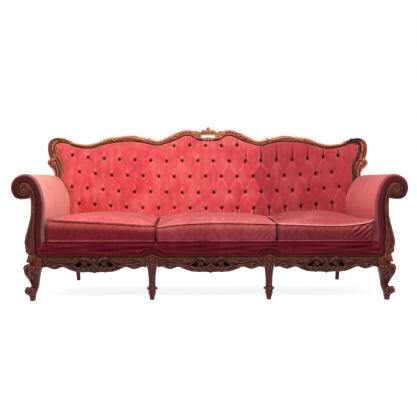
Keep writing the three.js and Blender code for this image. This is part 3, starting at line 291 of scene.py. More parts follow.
def makeFinishes():
    made = {name: velvet(name + "Velvet", *pile, **napShadeAndSheen.get(name, {})) for name, pile in velvets.items()}
    made.update({name: polishedWood(name + "Wood", *look) for name, look in woods.items()})
    made["frameWood"] = rawWood("frameWood")
    made["braid"] = woven("braidYarn", (0.004, 0.001, 0.001), (0.11, 0.026, 0.021), 420, sheen=0.02)
    made["jute"] = woven("juteWebbing", (0.2, 0.13, 0.06), (0.45, 0.33, 0.18), 260)
    made["cambric"] = woven("blackCambric", (0.01, 0.01, 0.011), (0.035, 0.033, 0.035), 700)
    made["foam"] = porous("foamCells")
    return made


def seenDirectly(tree):
    path = put(tree, "LightPath")
    seen = maths(tree, "MAXIMUM", path.outputs["Is Camera Ray"], path.outputs["Is Glossy Ray"])
    return maths(tree, "MAXIMUM", seen, path.outputs["Is Transmission Ray"])


def makeFloor():
    s = stageSetup
    scene = bpy.context.scene
    scene.view_settings.view_transform = "Standard"
    world = bpy.data.worlds.new("studio")
    scene.world = world
    world.use_nodes = True
    tree = world.node_tree
    strength = put(tree, "MapRange", {0: seenDirectly(tree), 3: s["ambient"], 4: 1.0}).outputs[0]
    background = tree.nodes["Background"]
    background.inputs["Color"].default_value = (1, 1, 1, 1)
    tree.links.new(strength, background.inputs["Strength"])
    side = s["floorSize"] / 2
    corners = np.array([(-side, -side, 0), (side, -side, 0), (side, side, 0), (-side, side, 0)])
    floor = makeObject("floor", (corners, [np.array([[0, 1, 2, 3]])]), np.asarray)
    material, tree, shader, place = newMaterial("floorPaint", Roughness=0.9, Specular_IOR_Level=0.1)
    tone = s["floorTone"]
    paint = ramp(tree, noise(tree, place, 3, 3), [(0.3, (tone,) * 3), (0.7, (tone * s["floorFleck"],) * 3)])
    tree.links.new(paint, shader.inputs["Base Color"])
    shader.inputs["Emission Color"].default_value = (1, 1, 1, 1)
    glow = maths(tree, "MULTIPLY", seenDirectly(tree), s["floorGlow"])
    tree.links.new(glow, shader.inputs["Emission Strength"])
    floor.data.materials.append(material)


# Shape helpers. A part is (points, [face arrays]), in millimetres until makeObject places it in the frame


def makeMesh(name, part):
    points, faces = part
    mesh = bpy.data.meshes.new(name)
    mesh.vertices.add(len(points))
    mesh.vertices.foreach_set("co", np.asarray(points, np.float32).ravel())
    corners = np.concatenate([np.asarray(f).ravel() for f in faces]).astype(np.int32)
    counts = np.concatenate([np.full(len(f), len(f[0])) for f in faces])
    mesh.loops.add(len(corners))
    mesh.loops.foreach_set("vertex_index", corners)
    mesh.polygons.add(len(counts))
    mesh.polygons.foreach_set("loop_start", np.concatenate([[0], np.cumsum(counts)[:-1]]).astype(np.int32))
    mesh.update(calc_edges=True)
    mesh.validate()
    mesh.shade_smooth()
    return mesh


def standing(points):
    return np.asarray(points, float) * mm


def makeObject(name, part, place=standing):
    return newObject(name, makeMesh(name, (place(part[0]), part[1])))


def facingOut(part):
    # turns the faces round where they point inwards
    points, faces = part
    volume = sum(
        np.einsum("ij,ij->i", points[f[:, 0]], np.cross(points[f[:, k]], points[f[:, k + 1]])).sum()
        for f in faces
        for k in range(1, f.shape[1] - 1)
    )
    return part if volume > 0 else (points, [f[:, ::-1] for f in faces])


def joined(parts):
    points, faces, count = [], [], 0
    for p, f in parts:
        points.append(p)
        faces.extend(face + count for face in f)
        count += len(p)
    return np.concatenate(points), faces


def mirrored(part):
    return part[0] * (-1, 1, 1), [f[:, ::-1] for f in part[1]]


def both(parts):
    return parts + [mirrored(p) for p in parts]


def unit(vectors):
    return vectors / np.maximum(np.linalg.norm(vectors, axis=-1, keepdims=True), 1e-9)


def ease(low, high, x):
    t = np.clip((x - low) / (high - low), 0, 1)
    return t * t * (3 - 2 * t)


def hump(x, wide, power=2):
    return np.exp(-((x / wide) ** power))


def distances(line):
    # how far along the line each of its points is
    return np.concatenate([[0], np.cumsum(np.linalg.norm(np.diff(line, axis=0), axis=1))])


def stepsAlong(line, pitch, least=10):
    return max(least, int(distances(line)[-1] / pitch))


def evenly(line, count):
    # the same line with its points the same distance apart
    far = distances(line)
    at = np.linspace(0, far[-1], count)
    return np.column_stack([np.interp(at, far, column) for column in line.T])


def smoothLine(points, count):
    # a smooth curve through the points
    p = np.asarray(points, float)
    far = distances(p)
    slope = np.gradient(p, far, axis=0)
    at = np.linspace(0, far[-1], 6 * count)
    i = np.clip(np.searchsorted(far, at, "right") - 1, 0, len(p) - 2)
    h = (far[i + 1] - far[i])[:, None]
    s = (at - far[i])[:, None] / h
    fine = (2 * s**3 - 3 * s**2 + 1) * p[i] + (s**3 - 2 * s**2 + s) * h * slope[i]
    fine += (3 * s**2 - 2 * s**3) * p[i + 1] + (s**3 - s**2) * h * slope[i + 1]
    return evenly(fine, count)


def sideOf(line):
    # the direction to the left of a flat line, at each of its points
    tangent = unit(np.gradient(line, axis=0))
    return np.column_stack([-tangent[:, 1], tangent[:, 0]])


def stations(line, facing):
    # directions to the side and outwards at each point of a line
    along = unit(np.gradient(line, axis=0))
    side = unit(np.cross(along, facing))
    return side, unit(np.cross(side, along))


def spaced(values, count):
    # a few values spread over a whole line
    values = np.atleast_1d(np.asarray(values, float))
    return np.interp(np.linspace(0, 1, count), np.linspace(0, 1, len(values)), values)


def skin(rings):
    # closed skin over rings of points, with a point in the middle of each end
    n, m = rings.shape[:2]
    i = np.arange(n * m).reshape(n, m)
    j = np.roll(i, -1, axis=1)
    sides = np.stack([i[:-1], j[:-1], j[1:], i[1:]], -1).reshape(-1, 4)
    points = np.concatenate([rings.reshape(-1, 3), rings[[0, -1]].mean(1)])
    first = np.column_stack([j[0], i[0], np.full(m, n * m)])
    last = np.column_stack([i[-1], j[-1], np.full(m, n * m + 1)])
    return facingOut((points, [sides, np.concatenate([first, last])]))


def slab(front, back):
    # closed solid between two grids of points
    n, m = front.shape[:2]
    i = np.arange(n * m).reshape(n, m)
    face = np.stack([i[:-1, :-1], i[:-1, 1:], i[1:, 1:], i[1:, :-1]], -1).reshape(-1, 4)
    rim = np.concatenate([i[0, :-1], i[:-1, -1], i[-1, :0:-1], i[:0:-1, 0]])
    after = np.roll(rim, -1)
    wall = np.column_stack([after, rim, rim + n * m, after + n * m])
    points = np.concatenate([front.reshape(-1, 3), back.reshape(-1, 3)])
    return facingOut((points, [face, face[:, ::-1] + n * m, wall]))


def backed(x, y, z, axis, at):
    # closed solid from a grid of points back to one value of an axis
    grid = np.stack([x, y, z], -1)
    rear = grid.copy()
    rear[..., axis] = at
    return slab(grid, rear)


def tube(line, radius, facing=(0, -1, 0), sides=10):
    line = np.asarray(line, float)
    radius = spaced(radius, len(line))[:, None, None]
    side, out = stations(line, facing)
    angle = np.arange(sides) * 2 * math.pi / sides
    section = np.cos(angle)[:, None] * side[:, None] + np.sin(angle)[:, None] * out[:, None]
    return skin(line[:, None] + radius * section)


def rope(points, radius, y):
    line = np.asarray(points, float)
    steps = stepsAlong(line, 3, 8)
    line = smoothLine(line, steps)
    return tube(np.column_stack([line[:, 0], np.full(steps, y), line[:, 1]]), radius)


def volute(centre, radii, turns, start, bead, y, way):
    # a spiral of a tapering bead with an eye, seen from the front; start in degrees, way -1 is clockwise
    steps = int(26 * turns) + 6
    t = np.linspace(0, 1, steps)
    angle = math.radians(start) + way * t * turns * 2 * math.pi
    reach = radii[0] + (radii[1] - radii[0]) * t**0.85
    x, z = centre[0] + reach * np.cos(angle), centre[1] + reach * np.sin(angle)
    eye = ball((centre[0], y, centre[1]), (bead[1] * 1.7, bead[1] * 1.5, bead[1] * 1.7))
    return [tube(np.column_stack([x, np.full(steps, y), z]), bead), eye]


def ball(centre, size, steps=12):
    up = np.linspace(0, math.pi, steps + 2)[1:-1, None]
    turn = np.linspace(0, 2 * math.pi, 2 * steps, endpoint=False)
    rings = np.stack([np.sin(up) * np.cos(turn), np.sin(up) * np.sin(turn), np.cos(up) + 0 * turn], -1)
    return skin(rings * np.asarray(size, float) + np.asarray(centre, float))


def leaf(points, width, thick, lobes=4, steps=44, across=13, widest=0.4, facing=(0, -1, 0)):
    # a carved leaf: lobed edge, raised rib, veins that slant towards the tip
    line = smoothLine(points, steps)
    t = np.linspace(0, 1, steps)[:, None]
    u = np.linspace(-1, 1, across)[None, :]
    bend = math.log(0.5) / math.log(widest)
    shape = np.sin(math.pi * np.clip(t, 0.03, 0.985) ** bend)
    wave = (t * lobes) % 1
    shape = shape * (0.8 + 0.32 * np.sqrt(1 - wave) * np.minimum(1, wave * 9))
    half = width / 2 * np.maximum(shape, 0.07)
    side, out = stations(line, facing)
    vein = np.cos(2 * math.pi * lobes * (t - 0.10 * np.abs(u))) * np.abs(u) * 0.22
    lift = thick * (0.3 + 0.7 * shape) * (1 - 0.72 * u**2 + vein)
    centre = line[:, None] + side[:, None] * (u * half)[..., None]
    return slab(centre + out[:, None] * lift[..., None], centre - out[:, None] * thick * 0.7)


def band(edgeA, edgeB, profile, front, height, back, steps, across):
    # a moulding between two edges given as [x, z], its profile running from edge A to edge B
    a, b = smoothLine(edgeA, steps), smoothLine(edgeB, steps)
    c = np.linspace(-1, 1, across)
    flat = a[:, None] * ((1 - c) / 2)[:, None] + b[:, None] * ((1 + c) / 2)[:, None]
    y = front - spaced(height, steps)[:, None] * profile(c)[None, :]
    return backed(flat[..., 0], y, flat[..., 1], 1, back)


def moulding(points, width, front, height, back, steps=0):
    line = np.asarray(points, float)
    steps = steps or stepsAlong(line, 3)
    line = smoothLine(line, steps)
    side = sideOf(line) * spaced(width, steps)[:, None] / 2
    return band(line - side, line + side, doubleRidge, front, height, back, steps, 15)


def plate(outline, front, back):
    corners = [Vector((x, 0, z)) for x, z in outline]
    n = len(corners)
    triangles = np.array(tessellate_polygon([corners]))
    rim = np.arange(n)
    after = np.roll(rim, -1)
    points = np.array([(x, front, z) for x, z in outline] + [(x, back, z) for x, z in outline], float)
    wall = np.column_stack([rim, after, after + n, rim + n])
    return facingOut((points, [triangles, triangles[:, ::-1] + n, wall]))


def carvings(rows, face):
    # parts from rows of settings; the middle number of a place is how proud it is of the face
    parts = []
    for kind, spot, *rest in rows:
        if kind == "leaf":
            parts.append(leaf([(x, face - proud, z) for x, proud, z in spot], *rest))
        elif kind == "bead":
            parts.append(ball((spot[0], face - spot[1], spot[2]), *rest))
        elif kind == "rope":
            radius, proud = rest
            parts.append(rope(spot, radius, face - proud))
        elif kind == "moulding":
            width, proud, *shape = rest
            parts.append(moulding(spot, width, face - proud, *shape))
        else:
            radii, turns, start, bead, proud, way = rest
            parts += volute(spot, radii, turns, start, bead, face - proud, way)
    return parts


def readAll(items, key, width=1, kind=np.float32):
    # one property of all items, a row for each
    values = np.empty(len(items) * width, kind)
    items.foreach_get(key, values)
    return values.reshape(-1, width)


def cadPart(node):
    # a CAD node's own solid, in millimetres
    mesh = frame["nodes"][node].data
    mesh.calc_loop_triangles()
    triangles = readAll(mesh.loop_triangles, "vertices", 3, np.int32)
    return readAll(mesh.vertices, "co", 3, float) / mm, [triangles]


def cadSize(node):
    return [np.array(corner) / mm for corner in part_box(node)]


# Profiles of mouldings, from one edge (-1) to the other (1), 0 to 1 high


def doubleRidge(c):
    return (1 - np.abs(c) ** 8) * (0.58 + 0.42 * np.cos(2 * math.pi * (np.abs(c) - 0.64)))


def crestProfile(c):
    bead = 0.62 * hump(c + 0.78, 0.16)
    topRoll = hump(c - 0.52, 0.34, 4)
    hollow = 0.3 + 0.1 * c
    return np.maximum(np.maximum(bead, topRoll), hollow) * np.sqrt(np.maximum(0, 1 - np.abs(c) ** 10))


# The surface's own relief as a point attribute: convex edges above 0, hollows below. Materials darken the
# hollows by it as painted shade, and extra adds painted shade and other marks to it


def neighbours(mesh):
    a, b = readAll(mesh.edges, "vertices", 2, np.int32).T
    n = len(mesh.vertices)
    count = np.maximum(1, np.bincount(a, minlength=n) + np.bincount(b, minlength=n))
    return lambda v: (np.bincount(a, v[b], n) + np.bincount(b, v[a], n)) / count


def pointsOf(mesh):
    return readAll(mesh.vertices, "co", 3).astype(float)


def setPoints(mesh, points):
    mesh.vertices.foreach_set("co", points.astype(np.float32).ravel())


def addRidge(mesh, scale, passes=8, extra=None):
    # scale is the relief, in millimetres, that counts as a full edge
    average = neighbours(mesh)
    points = pointsOf(mesh)
    blurred = points.T
    for _ in range(passes):
        blurred = np.array([average(row) for row in blurred])
    ridge = ((points - blurred.T) * readAll(mesh.vertices, "normal", 3)).sum(1) / (scale * mm)
    ridge = np.clip(average(ridge), -1, 1)
    if extra is not None:
        ridge = np.clip(ridge + extra, -1.3, 1.3)
    setAttribute(mesh, "ridge", ridge)


def setAttribute(mesh, name, values):
    layer = mesh.attributes.get(name) or mesh.attributes.new(name, "FLOAT", "POINT")
    layer.data.foreach_set("value", np.asarray(values, np.float32))


def valuesOf(mesh, name):
    return readAll(mesh.attributes[name].data, "value").ravel()


def dressed(thing, material, body, slot, *nodes):
    thing.data.materials.clear()
    thing.data.materials.append(material)
    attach(thing, body)
    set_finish(thing, slot)
    if nodes:
        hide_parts(*nodes)
    return thing


def applied(thing):
    done = bpy.data.meshes.new_from_object(thing.evaluated_get(bpy.context.evaluated_depsgraph_get()))
    thing.modifiers.clear()
    thing.data = done
    done.shade_smooth()
    return done


def wrinkle(points, size, seed, waves=14, stretch=(1, 1, 1)):
    # smooth, seeded unevenness between about -1 and 1; size in millimetres
    draw = np.random.default_rng(seed)
    places = points.reshape(-1, 3)
    total = np.zeros(len(places))
    for _ in range(waves):
        direction = unit(draw.normal(size=3)) / np.asarray(stretch, float)
        push = 2 * math.pi / (size * draw.uniform(0.7, 1.6))
        total += np.cos(places @ direction * push + draw.uniform(0, 2 * math.pi))
    return (total / math.sqrt(waves) / 1.2).reshape(points.shape[:-1])


def sheetPlace(x, z):
    # places on an upright sheet, for its unevenness
    return np.stack([x, 0 * x, z], -1)


# Back frame: drawn upright in millimetres, then leaned as the CAD's back is

backFrame = {"rake": 10.5, "thick": 36.0}
rakeSin = math.sin(math.radians(backFrame["rake"]))
rakeCos = math.cos(math.radians(backFrame["rake"]))
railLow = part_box("back_bottom_rail")[0]
backFootY = railLow.y
backFootZ = railLow.z + backFrame["thick"] * mm * rakeSin


def leaned(points):
    x, y, z = np.asarray(points, float).T * mm
    return np.column_stack([x, backFootY + z * rakeSin + y * rakeCos, backFootZ + z * rakeCos - y * rakeSin])


def upright(points):
    x, y, z = np.asarray(points, float).T * mm
    y, z = y - backFootY, z - backFootZ
    return np.column_stack([x, y * rakeCos - z * rakeSin, y * rakeSin + z * rakeCos]) / mm


def uprightPart(node):
    points, faces = cadPart(node)
    return upright(points), faces


def backPlane(z, proud):
    # y of the leaned back's front at a height, in millimetres
    return backFootY / mm + (z - backFootZ / mm) * rakeSin / rakeCos - proud / rakeCos


def carve(name, parts, node, wood, voxel=2.0, smoothing=2, place=standing, paired=True):
    # one carved piece, its parts fused and softened, and its mirror image where it is one of a pair
    side = "_right" if paired else ""
    thing = makeObject(name + side, joined(parts), place)
    fuse = thing.modifiers.new("fuse", "REMESH")
    fuse.mode = "VOXEL"
    fuse.voxel_size = voxel * mm
    soften = thing.modifiers.new("soften", "SMOOTH")
    soften.factor = 0.5
    soften.iterations = smoothing
    addRidge(applied(thing), 1.2)
    dressed(thing, finish[wood], "frame", "show_wood", node + side)
    if paired:
        otherSide(thing, name + "_left", node + "_left")
    return thing


def otherSide(thing, name, node):
    # the mirror image of a right-hand piece
    mesh = thing.data.copy()
    setPoints(mesh, pointsOf(mesh) * (-1, 1, 1))
    mesh.flip_normals()
    copy = newObject(name, mesh)
    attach(copy, "frame")
    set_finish(copy, thing["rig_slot"])
    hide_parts(node)


makeCamera()
makeLamps()
makeFloor()
finish = makeFinishes()
print("materials ready")

# Deep-buttoned back

backPad = {
    "columns": 700, "rows": 240, "base": -3.8, "edge": 24.0, "thick": 73.0, "fade": 60.0, "below": 30,
    "soft": 1.6, "relief": 2.2, "napFrom": (-250, 250), "seamColumn": 3, "seam": (-7, 7),
}
buttonGrid = {
    "pitch": 101.5, "rowPitch": 104.0, "firstRow": 176.0, "sweep": 38.0, "sweepAt": 866.0,
    "fullRows": 4, "shortRow": 2, "toLeft": 17.0, "wider": 1.017, "wander": 2.6,
}
tuft = {
    "dimple": 25.0, "dimpleWide": 10.5, "bowl": 8.0, "bowlWide": 30.0, "fold": 1.1, "foldNear": 5.5,
    "nearWide": 26, "foldWide": 4.0, "pillow": 5.5, "uneven": 0.35, "unevenSize": 130, "crisp": (-330, 420),
    "spot": 7.2, "spotCrisp": 2.3, "worn": 1.7, "wornWide": 3.0, "wornFrom": (11, 20), "wornReach": 40,
    "streak": 1.5, "streakWide": 7, "streakFrom": (11, 18), "streakReach": 34,
}
pleat = {
    "deep": 13.0, "long": 60.0, "narrow": 3.0, "wider": 3.2, "widerLong": 22, "lean": 1.5,
    "besideAt": 20, "besideWide": 12, "dark": 1.5, "worn": 0.55, "wornAt": 9, "wornWide": 3.5,
}
button = {"radius": 8.4, "high": 5.0, "proud": 3.0}


def rimOf(node, depth):
    # the outline of a CAD node's flat face at a depth in the back frame, in order round its middle
    points = upright(cadPart(node)[0])
    flat = points[np.abs(points[:, 1] - depth) < 0.4][:, [0, 2]]
    flat = np.unique(flat.round(2), axis=0)
    middle = np.array([0, flat[:, 1].mean()])
    order = np.argsort(np.arctan2(flat[:, 1] - middle[1], flat[:, 0]))
    return flat[order]


def reach(rim, at, axis):
    # how far the outline goes along the other axis at each value, on the right or the upper side
    a, b = rim, np.roll(rim, -1, axis=0)
    low, high = np.minimum(a[:, axis], b[:, axis]), np.maximum(a[:, axis], b[:, axis])
    far = []
    for value in at:
        hit = (low <= value) & (high > value)
        share = (value - a[hit, axis]) / (b[hit, axis] - a[hit, axis])
        far.append((a[hit, 1 - axis] + share * (b[hit, 1 - axis] - a[hit, 1 - axis])).max(initial=-1e9))
    return np.array(far)


def outlineOf(node, depth):
    # an outline as x with the top at each, and height with the right side at each
    rim = rimOf(node, depth)
    atX = np.arange(0, rim[:, 0].max() - 1, 2.0)
    atZ = np.arange(1, rim[:, 1].max() - 1, 2.0)
    tops, sides = reach(rim, atX, 0), reach(rim, atZ, 1)
    sides[sides.argmax() :] = sides.max()
    return atX, tops, atZ, sides


def topAt(outline, x):
    return np.interp(np.abs(x), outline[0], outline[1])


def sideAt(outline, z):
    return np.interp(z, outline[2], outline[3])


def insideOf(outline, x, z, below=0):
    # how far within the outline each place is; below is what it runs on under its foot
    return np.minimum(np.minimum(sideAt(outline, z) - np.abs(x), topAt(outline, x) - z), z + below)


def gridOver(outline, columns, rows):
    u = np.linspace(-1, 1, columns)[:, None]
    v = np.linspace(0, 1, rows)[None, :]
    x = u * outline[3].mean() + 0 * v
    for _ in range(14):
        z = v * topAt(outline, x)
        x = u * sideAt(outline, z)
    return x, z


def woodEdge(nodes, at, axis, beyond):
    # how near the show wood comes in front of the pad's base, at each x (axis 0) or height (axis 2)
    nearest = np.full(len(at), 1e9)
    for node in nodes:
        points, faces = uprightPart(node)
        corners = faces[0]
        edges = np.concatenate([corners[:, [0, 1]], corners[:, [1, 2]], corners[:, [2, 0]]])
        a, b = points[edges[:, 0]], points[edges[:, 1]]
        for k, value in enumerate(at):
            hit = (a[:, axis] <= value) & (b[:, axis] > value)
            share = (value - a[hit, axis]) / (b[hit, axis] - a[hit, axis])
            cut = a[hit] + share[:, None] * (b[hit] - a[hit])
            near = cut[(cut[:, 1] < -4) & (cut[:, 1] > -34), 2 - axis]
            nearest[k] = min(nearest[k], near[near > beyond].min(initial=1e9))
    return nearest


def filled(edge, wood, most=32.0):
    # the pad's edge let out to the wood beside it
    out = np.where((wood > edge) & (wood < edge + most), wood - 0.5, edge)
    return np.convolve(np.pad(out, 3, "edge"), np.ones(7) / 7, "valid")


def padOutline():
    atX, tops, atZ, sides = outlineOf("back_pad", backPad["base"])
    tops = filled(tops, woodEdge(["crest_rail_right", "stile_right"], atX, 0, 500))
    sides = filled(sides, woodEdge(["stile_right"], atZ, 2, 800))
    return atX, tops, atZ, sides


def rowHeight(row, x):
    g = buttonGrid
    return g["firstRow"] + row * g["rowPitch"] + g["sweep"] * np.abs(x / g["sweepAt"]) ** 3


def evenPlace(x, z):
    # where a place on the uneven back lies in the even grid of buttons
    g = buttonGrid
    place = sheetPlace(x, z)
    evenX = (x + g["toLeft"]) / g["wider"] + g["wander"] * wrinkle(place, 230, 21)
    return evenX, z + g["wander"] * wrinkle(place, 260, 22)


def buttonPlaces():
    g = buttonGrid
    places = []
    for row in range(g["fullRows"] + 1):
        shift = 0.5 if row % 2 else 0.0
        for k in range(-9, 10):
            x = (k + shift) * g["pitch"]
            if abs(x) < g["sweepAt"] and (row < g["fullRows"] or abs(k) <= g["shortRow"]):
                places.append((x, rowHeight(row, x)))
    even = np.array(places)
    real = even.copy()
    for _ in range(8):
        real += even - np.column_stack(evenPlace(*real.T))
    return real


def off(value):
    # how far from a whole number
    return np.abs(value - np.round(value))


def atPitch(column, shift):
    # x of the nearest place in a row, the row shifted by a share of the pitch
    return (np.round(column - shift) + shift) * buttonGrid["pitch"]


def nearestButton(x, z):
    g = buttonGrid
    nearest = np.full(x.shape, 1e9)
    for row in range(g["fullRows"] + 1):
        place = atPitch(x / g["pitch"], 0.5 if row % 2 else 0.0)
        inShortRow = np.abs(place) < g["pitch"] * (g["shortRow"] + 0.2)
        there = (np.abs(place) <= g["sweepAt"]) & (inShortRow | (row < g["fullRows"]))
        far = np.hypot(x - place, z - rowHeight(row, x))
        nearest = np.minimum(nearest, np.where(there, far, 1e9))
    return nearest


def edgePleats(depth, shade, x, z, central, topRow):
    # the pleats that run from the outer buttons to the pad's foot and top, drawn in, with painted shade along
    # them and a pale line beside
    g, p = buttonGrid, pleat
    for below in (True, False):
        place = atPitch(x / g["pitch"], np.where(central | below, 0.0, 0.5))
        gone = np.abs(place) > g["sweepAt"]
        if below:
            rise = rowHeight(0, x) - z
            strong = 0.1 + 0.9 * ease(-100, 420, x)
            long = p["long"]
        else:
            rise = z - rowHeight(topRow, x)
            strong = 0.15 + 0.35 * ease(-420, -250, x) + 0.65 * ease(150, 330, x)
            long = p["long"] * (0.6 + 0.75 * ease(100, 330, x))
        strength = hump(np.maximum(rise, 0), long) * ease(-10, 8, rise) * ~gone
        strength = strength * strong * (0.85 + 0.35 * np.sin(place * 0.37))
        aside = x - place - p["lean"] * np.sin(rise * 0.05)
        line = hump(aside, p["narrow"] + p["wider"] * np.exp(-np.maximum(rise, 0) / p["widerLong"]))
        beside = hump(np.abs(aside) - p["besideAt"], p["besideWide"])
        worn = hump(aside - p["wornAt"], p["wornWide"])
        depth += p["deep"] * strength * line - 2 * strength * beside
        shade += -p["dark"] * strength * line + p["worn"] * strength * worn


def tufts(x, z):
    # how far the velvet is drawn in, and its painted shade and pale lines there
    g, t = buttonGrid, tuft
    x, z = evenPlace(x, z)
    row = (z - rowHeight(0, x)) / g["rowPitch"]
    column = x / g["pitch"]
    central = np.abs(column) < g["shortRow"] + 0.5
    topRow = np.where(central, g["fullRows"], g["fullRows"] - 1)
    live = ease(-0.35, 0.05, row) * (1 - ease(-0.02, 0.3, row - topRow))
    one, two = off(column + row / 2), off(column - row / 2)
    fold = np.minimum(one, two) * g["pitch"] * 0.9
    nearest = nearestButton(x, z)
    uneven = 0.75 + t["uneven"] * wrinkle(sheetPlace(x, z), t["unevenSize"], 3)
    crisp = 0.16 + 0.84 * ease(*t["crisp"], x)  # the folds are sharper, and the painted shade at the buttons darker, towards the right
    deep = (t["fold"] + t["foldNear"] * hump(nearest, t["nearWide"])) * live * uneven * crisp
    pillow = t["pillow"] * (0.5 + 0.5 * crisp) * live * np.sqrt(4 * one * two)
    depth = deep * hump(fold, t["foldWide"]) - pillow
    depth += t["dimple"] * hump(nearest, t["dimpleWide"]) + t["bowl"] * hump(nearest, t["bowlWide"])
    # painted shade in each button's dimple
    shade = -(0.85 + 0.45 * crisp) * hump(nearest, t["spot"] + t["spotCrisp"] * crisp, 4)
    worn = live * uneven * (0.08 + 0.92 * crisp) * (0.55 + 0.45 * hump(nearest, t["wornReach"]))
    shade += t["worn"] * worn * hump(fold, t["wornWide"]) * ease(*t["wornFrom"], nearest)
    edgePleats(depth, shade, x, z, central, topRow)
    beside = off(column + 0.5 * (row % 2 > 1)) * g["pitch"]
    tall = hump(nearest, t["streakReach"]) * ease(*t["streakFrom"], nearest)
    shade += t["streak"] * (1 - 0.75 * crisp) * tall * hump(beside, t["streakWide"])  # paler in a streak above and below each button
    return depth, shade


def backSurface(x, z):
    b = backPad
    inset = insideOf(backOutline, x, z, b["below"])
    roundness = np.sqrt(1 - (1 - np.clip(inset / b["fade"], 0, 1)) ** 2)
    depth, shade = tufts(x, z)
    soft = b["soft"] * wrinkle(sheetPlace(x, z), 60, 5, stretch=(1, 1, 2.2))
    swell = b["edge"] + (b["thick"] - b["edge"]) * roundness
    depth = b["base"] - swell + depth * np.clip(roundness * 1.1, 0, 1) + soft * roundness
    return depth, shade * np.clip(roundness * 1.5, 0, 1)


def makeBack():
    b, g = backPad, buttonGrid
    x, z = gridOver(backOutline, b["columns"], b["rows"])
    flatX, flatZ = x.ravel(), z.ravel()
    depth, shade = backSurface(flatX, flatZ)
    thing = makeObject("back_cushion", backed(x, depth.reshape(x.shape), z, 1, b["base"]), leaned)
    # the tufts' painted shade and pale lines go into the ridge attribute
    addRidge(thing.data, b["relief"], 5, np.concatenate([shade, np.zeros(len(flatX))]))
    evenX, evenZ = evenPlace(flatX, flatZ)
    row = np.clip((evenZ - rowHeight(0, evenX)) / g["rowPitch"], 0, g["fullRows"] - 1)
    seam = (b["seamColumn"] + off(row / 2)) * g["pitch"]
    # painted shade growing towards the right, and a turned nap past the seam between widths of velvet
    nap = 0.22 * ease(*b["napFrom"], flatX) + 0.74 * ease(*b["seam"], evenX - seam)
    setAttribute(thing.data, "nap", np.concatenate([nap, nap]))
    dressed(thing, finish["back"], "frame", "velvet", "back_pad")


def makeButtons():
    places = buttonPlaces()
    depth, _ = backSurface(places[:, 0], places[:, 1])
    size = (button["radius"], button["high"], button["radius"])
    parts = [ball((x, y - button["proud"], z), size, 9) for (x, z), y in zip(places, depth)]
    thing = makeObject("back_buttons", joined(parts), leaned)
    # the buttons take a dark copy of the velvet, as painted shade in their dimples
    dressed(thing, finish["button"], "frame", "velvet")


backOutline = padOutline()
makeBack()
makeButtons()
print("back ready")

# Seat cushions

cushion = {
    "height": 105.0, "foot": 5.0, "round": 30.0, "taper": 35.0, "draw": 7.0, "bulge": 5.0, "inset": 4.0,
    "across": 92, "deep": 86, "sideRows": 15, "welt": 4.0, "core": 15.0, "gap": 1.1, "sag": 4, "relief": 2.6,
    "pressure": 4.0, "slack": -0.006, "bending": 2.5, "stiffness": 12, "frames": 20, "cap": 16.0,
    "coreGrid": (24, 22, 4), "coreLower": 4,
}
# each cushion: height of its crown, rise of its front seam from left to right, side that follows an arm,
# painted shade under its seam, painted highlight on its upper piping (painted shade below 0), and how strong
# its drag lines are
cushions = {
    "left": {
        "crown": 40, "front": (26, 12, 4, -6, -13), "taper": -1, "seed": 11,
        "dark": 1.0, "welt": -0.2, "drag": 0.1,
    },
    "middle": {
        "crown": 33, "front": (-22, -2, 4, 2, -4), "taper": 0, "seed": 23,
        "dark": 1.1, "welt": 0.35, "drag": 0.22,
    },
    "right": {
        "crown": 46, "front": (-3, -8, -13, -10, 16), "taper": 1, "seed": 37,
        "dark": 1.1, "welt": 0.7, "drag": 1.0,
    },
}
dragSetup = {"front": (40, 12), "inner": (150, 105), "outer": (8, 35), "slant": 1.3, "pitch": 41, "lift": 1.8}


def cushionPlan(low, high, taper, across, deep):
    # a grid over the top: a rectangle with round corners, its sides drawn in
    c = cushion
    u, v = np.meshgrid(np.linspace(-1, 1, across), np.linspace(-1, 1, deep), indexing="ij")
    halfX, halfY = (high[0] - low[0]) / 2, (high[1] - low[1]) / 2
    x, y = u * halfX, v * halfY
    dx, dy = np.maximum(np.abs(x) - halfX + c["round"], 0), np.maximum(np.abs(y) - halfY + c["round"], 0)
    pull = np.where((dx > 0) & (dy > 0), np.maximum(dx, dy) / np.maximum(np.hypot(dx, dy), 1e-6), 1)
    x = np.sign(x) * (np.abs(x) - dx + dx * pull)
    y = np.sign(y) * (np.abs(y) - dy + dy * pull)
    x -= c["draw"] * np.sign(u) * np.abs(u) ** 3 * (1 - v**2) ** 0.8
    y -= c["draw"] * np.sign(v) * np.abs(v) ** 3 * (1 - u**2) ** 0.8
    x -= c["taper"] * taper * (1 + v) / 2 * (1 + u * taper) / 2
    return x + (high[0] + low[0]) / 2, y + (high[1] + low[1]) / 2, u, v


def cushionRim(x, y):
    # the grid's edge in order, with the direction that faces out at each point
    i = np.arange(x.size).reshape(x.shape)
    rim = np.concatenate([i[:-1, 0], i[-1, :-1], i[:0:-1, -1], i[0, :0:-1]])
    rx, ry = x.ravel()[rim], y.ravel()[rim]
    nx, ny = np.roll(ry, -1) - np.roll(ry, 1), np.roll(rx, 1) - np.roll(rx, -1)
    size = np.hypot(nx, ny)
    return rim, rx, ry, nx / size, ny / size


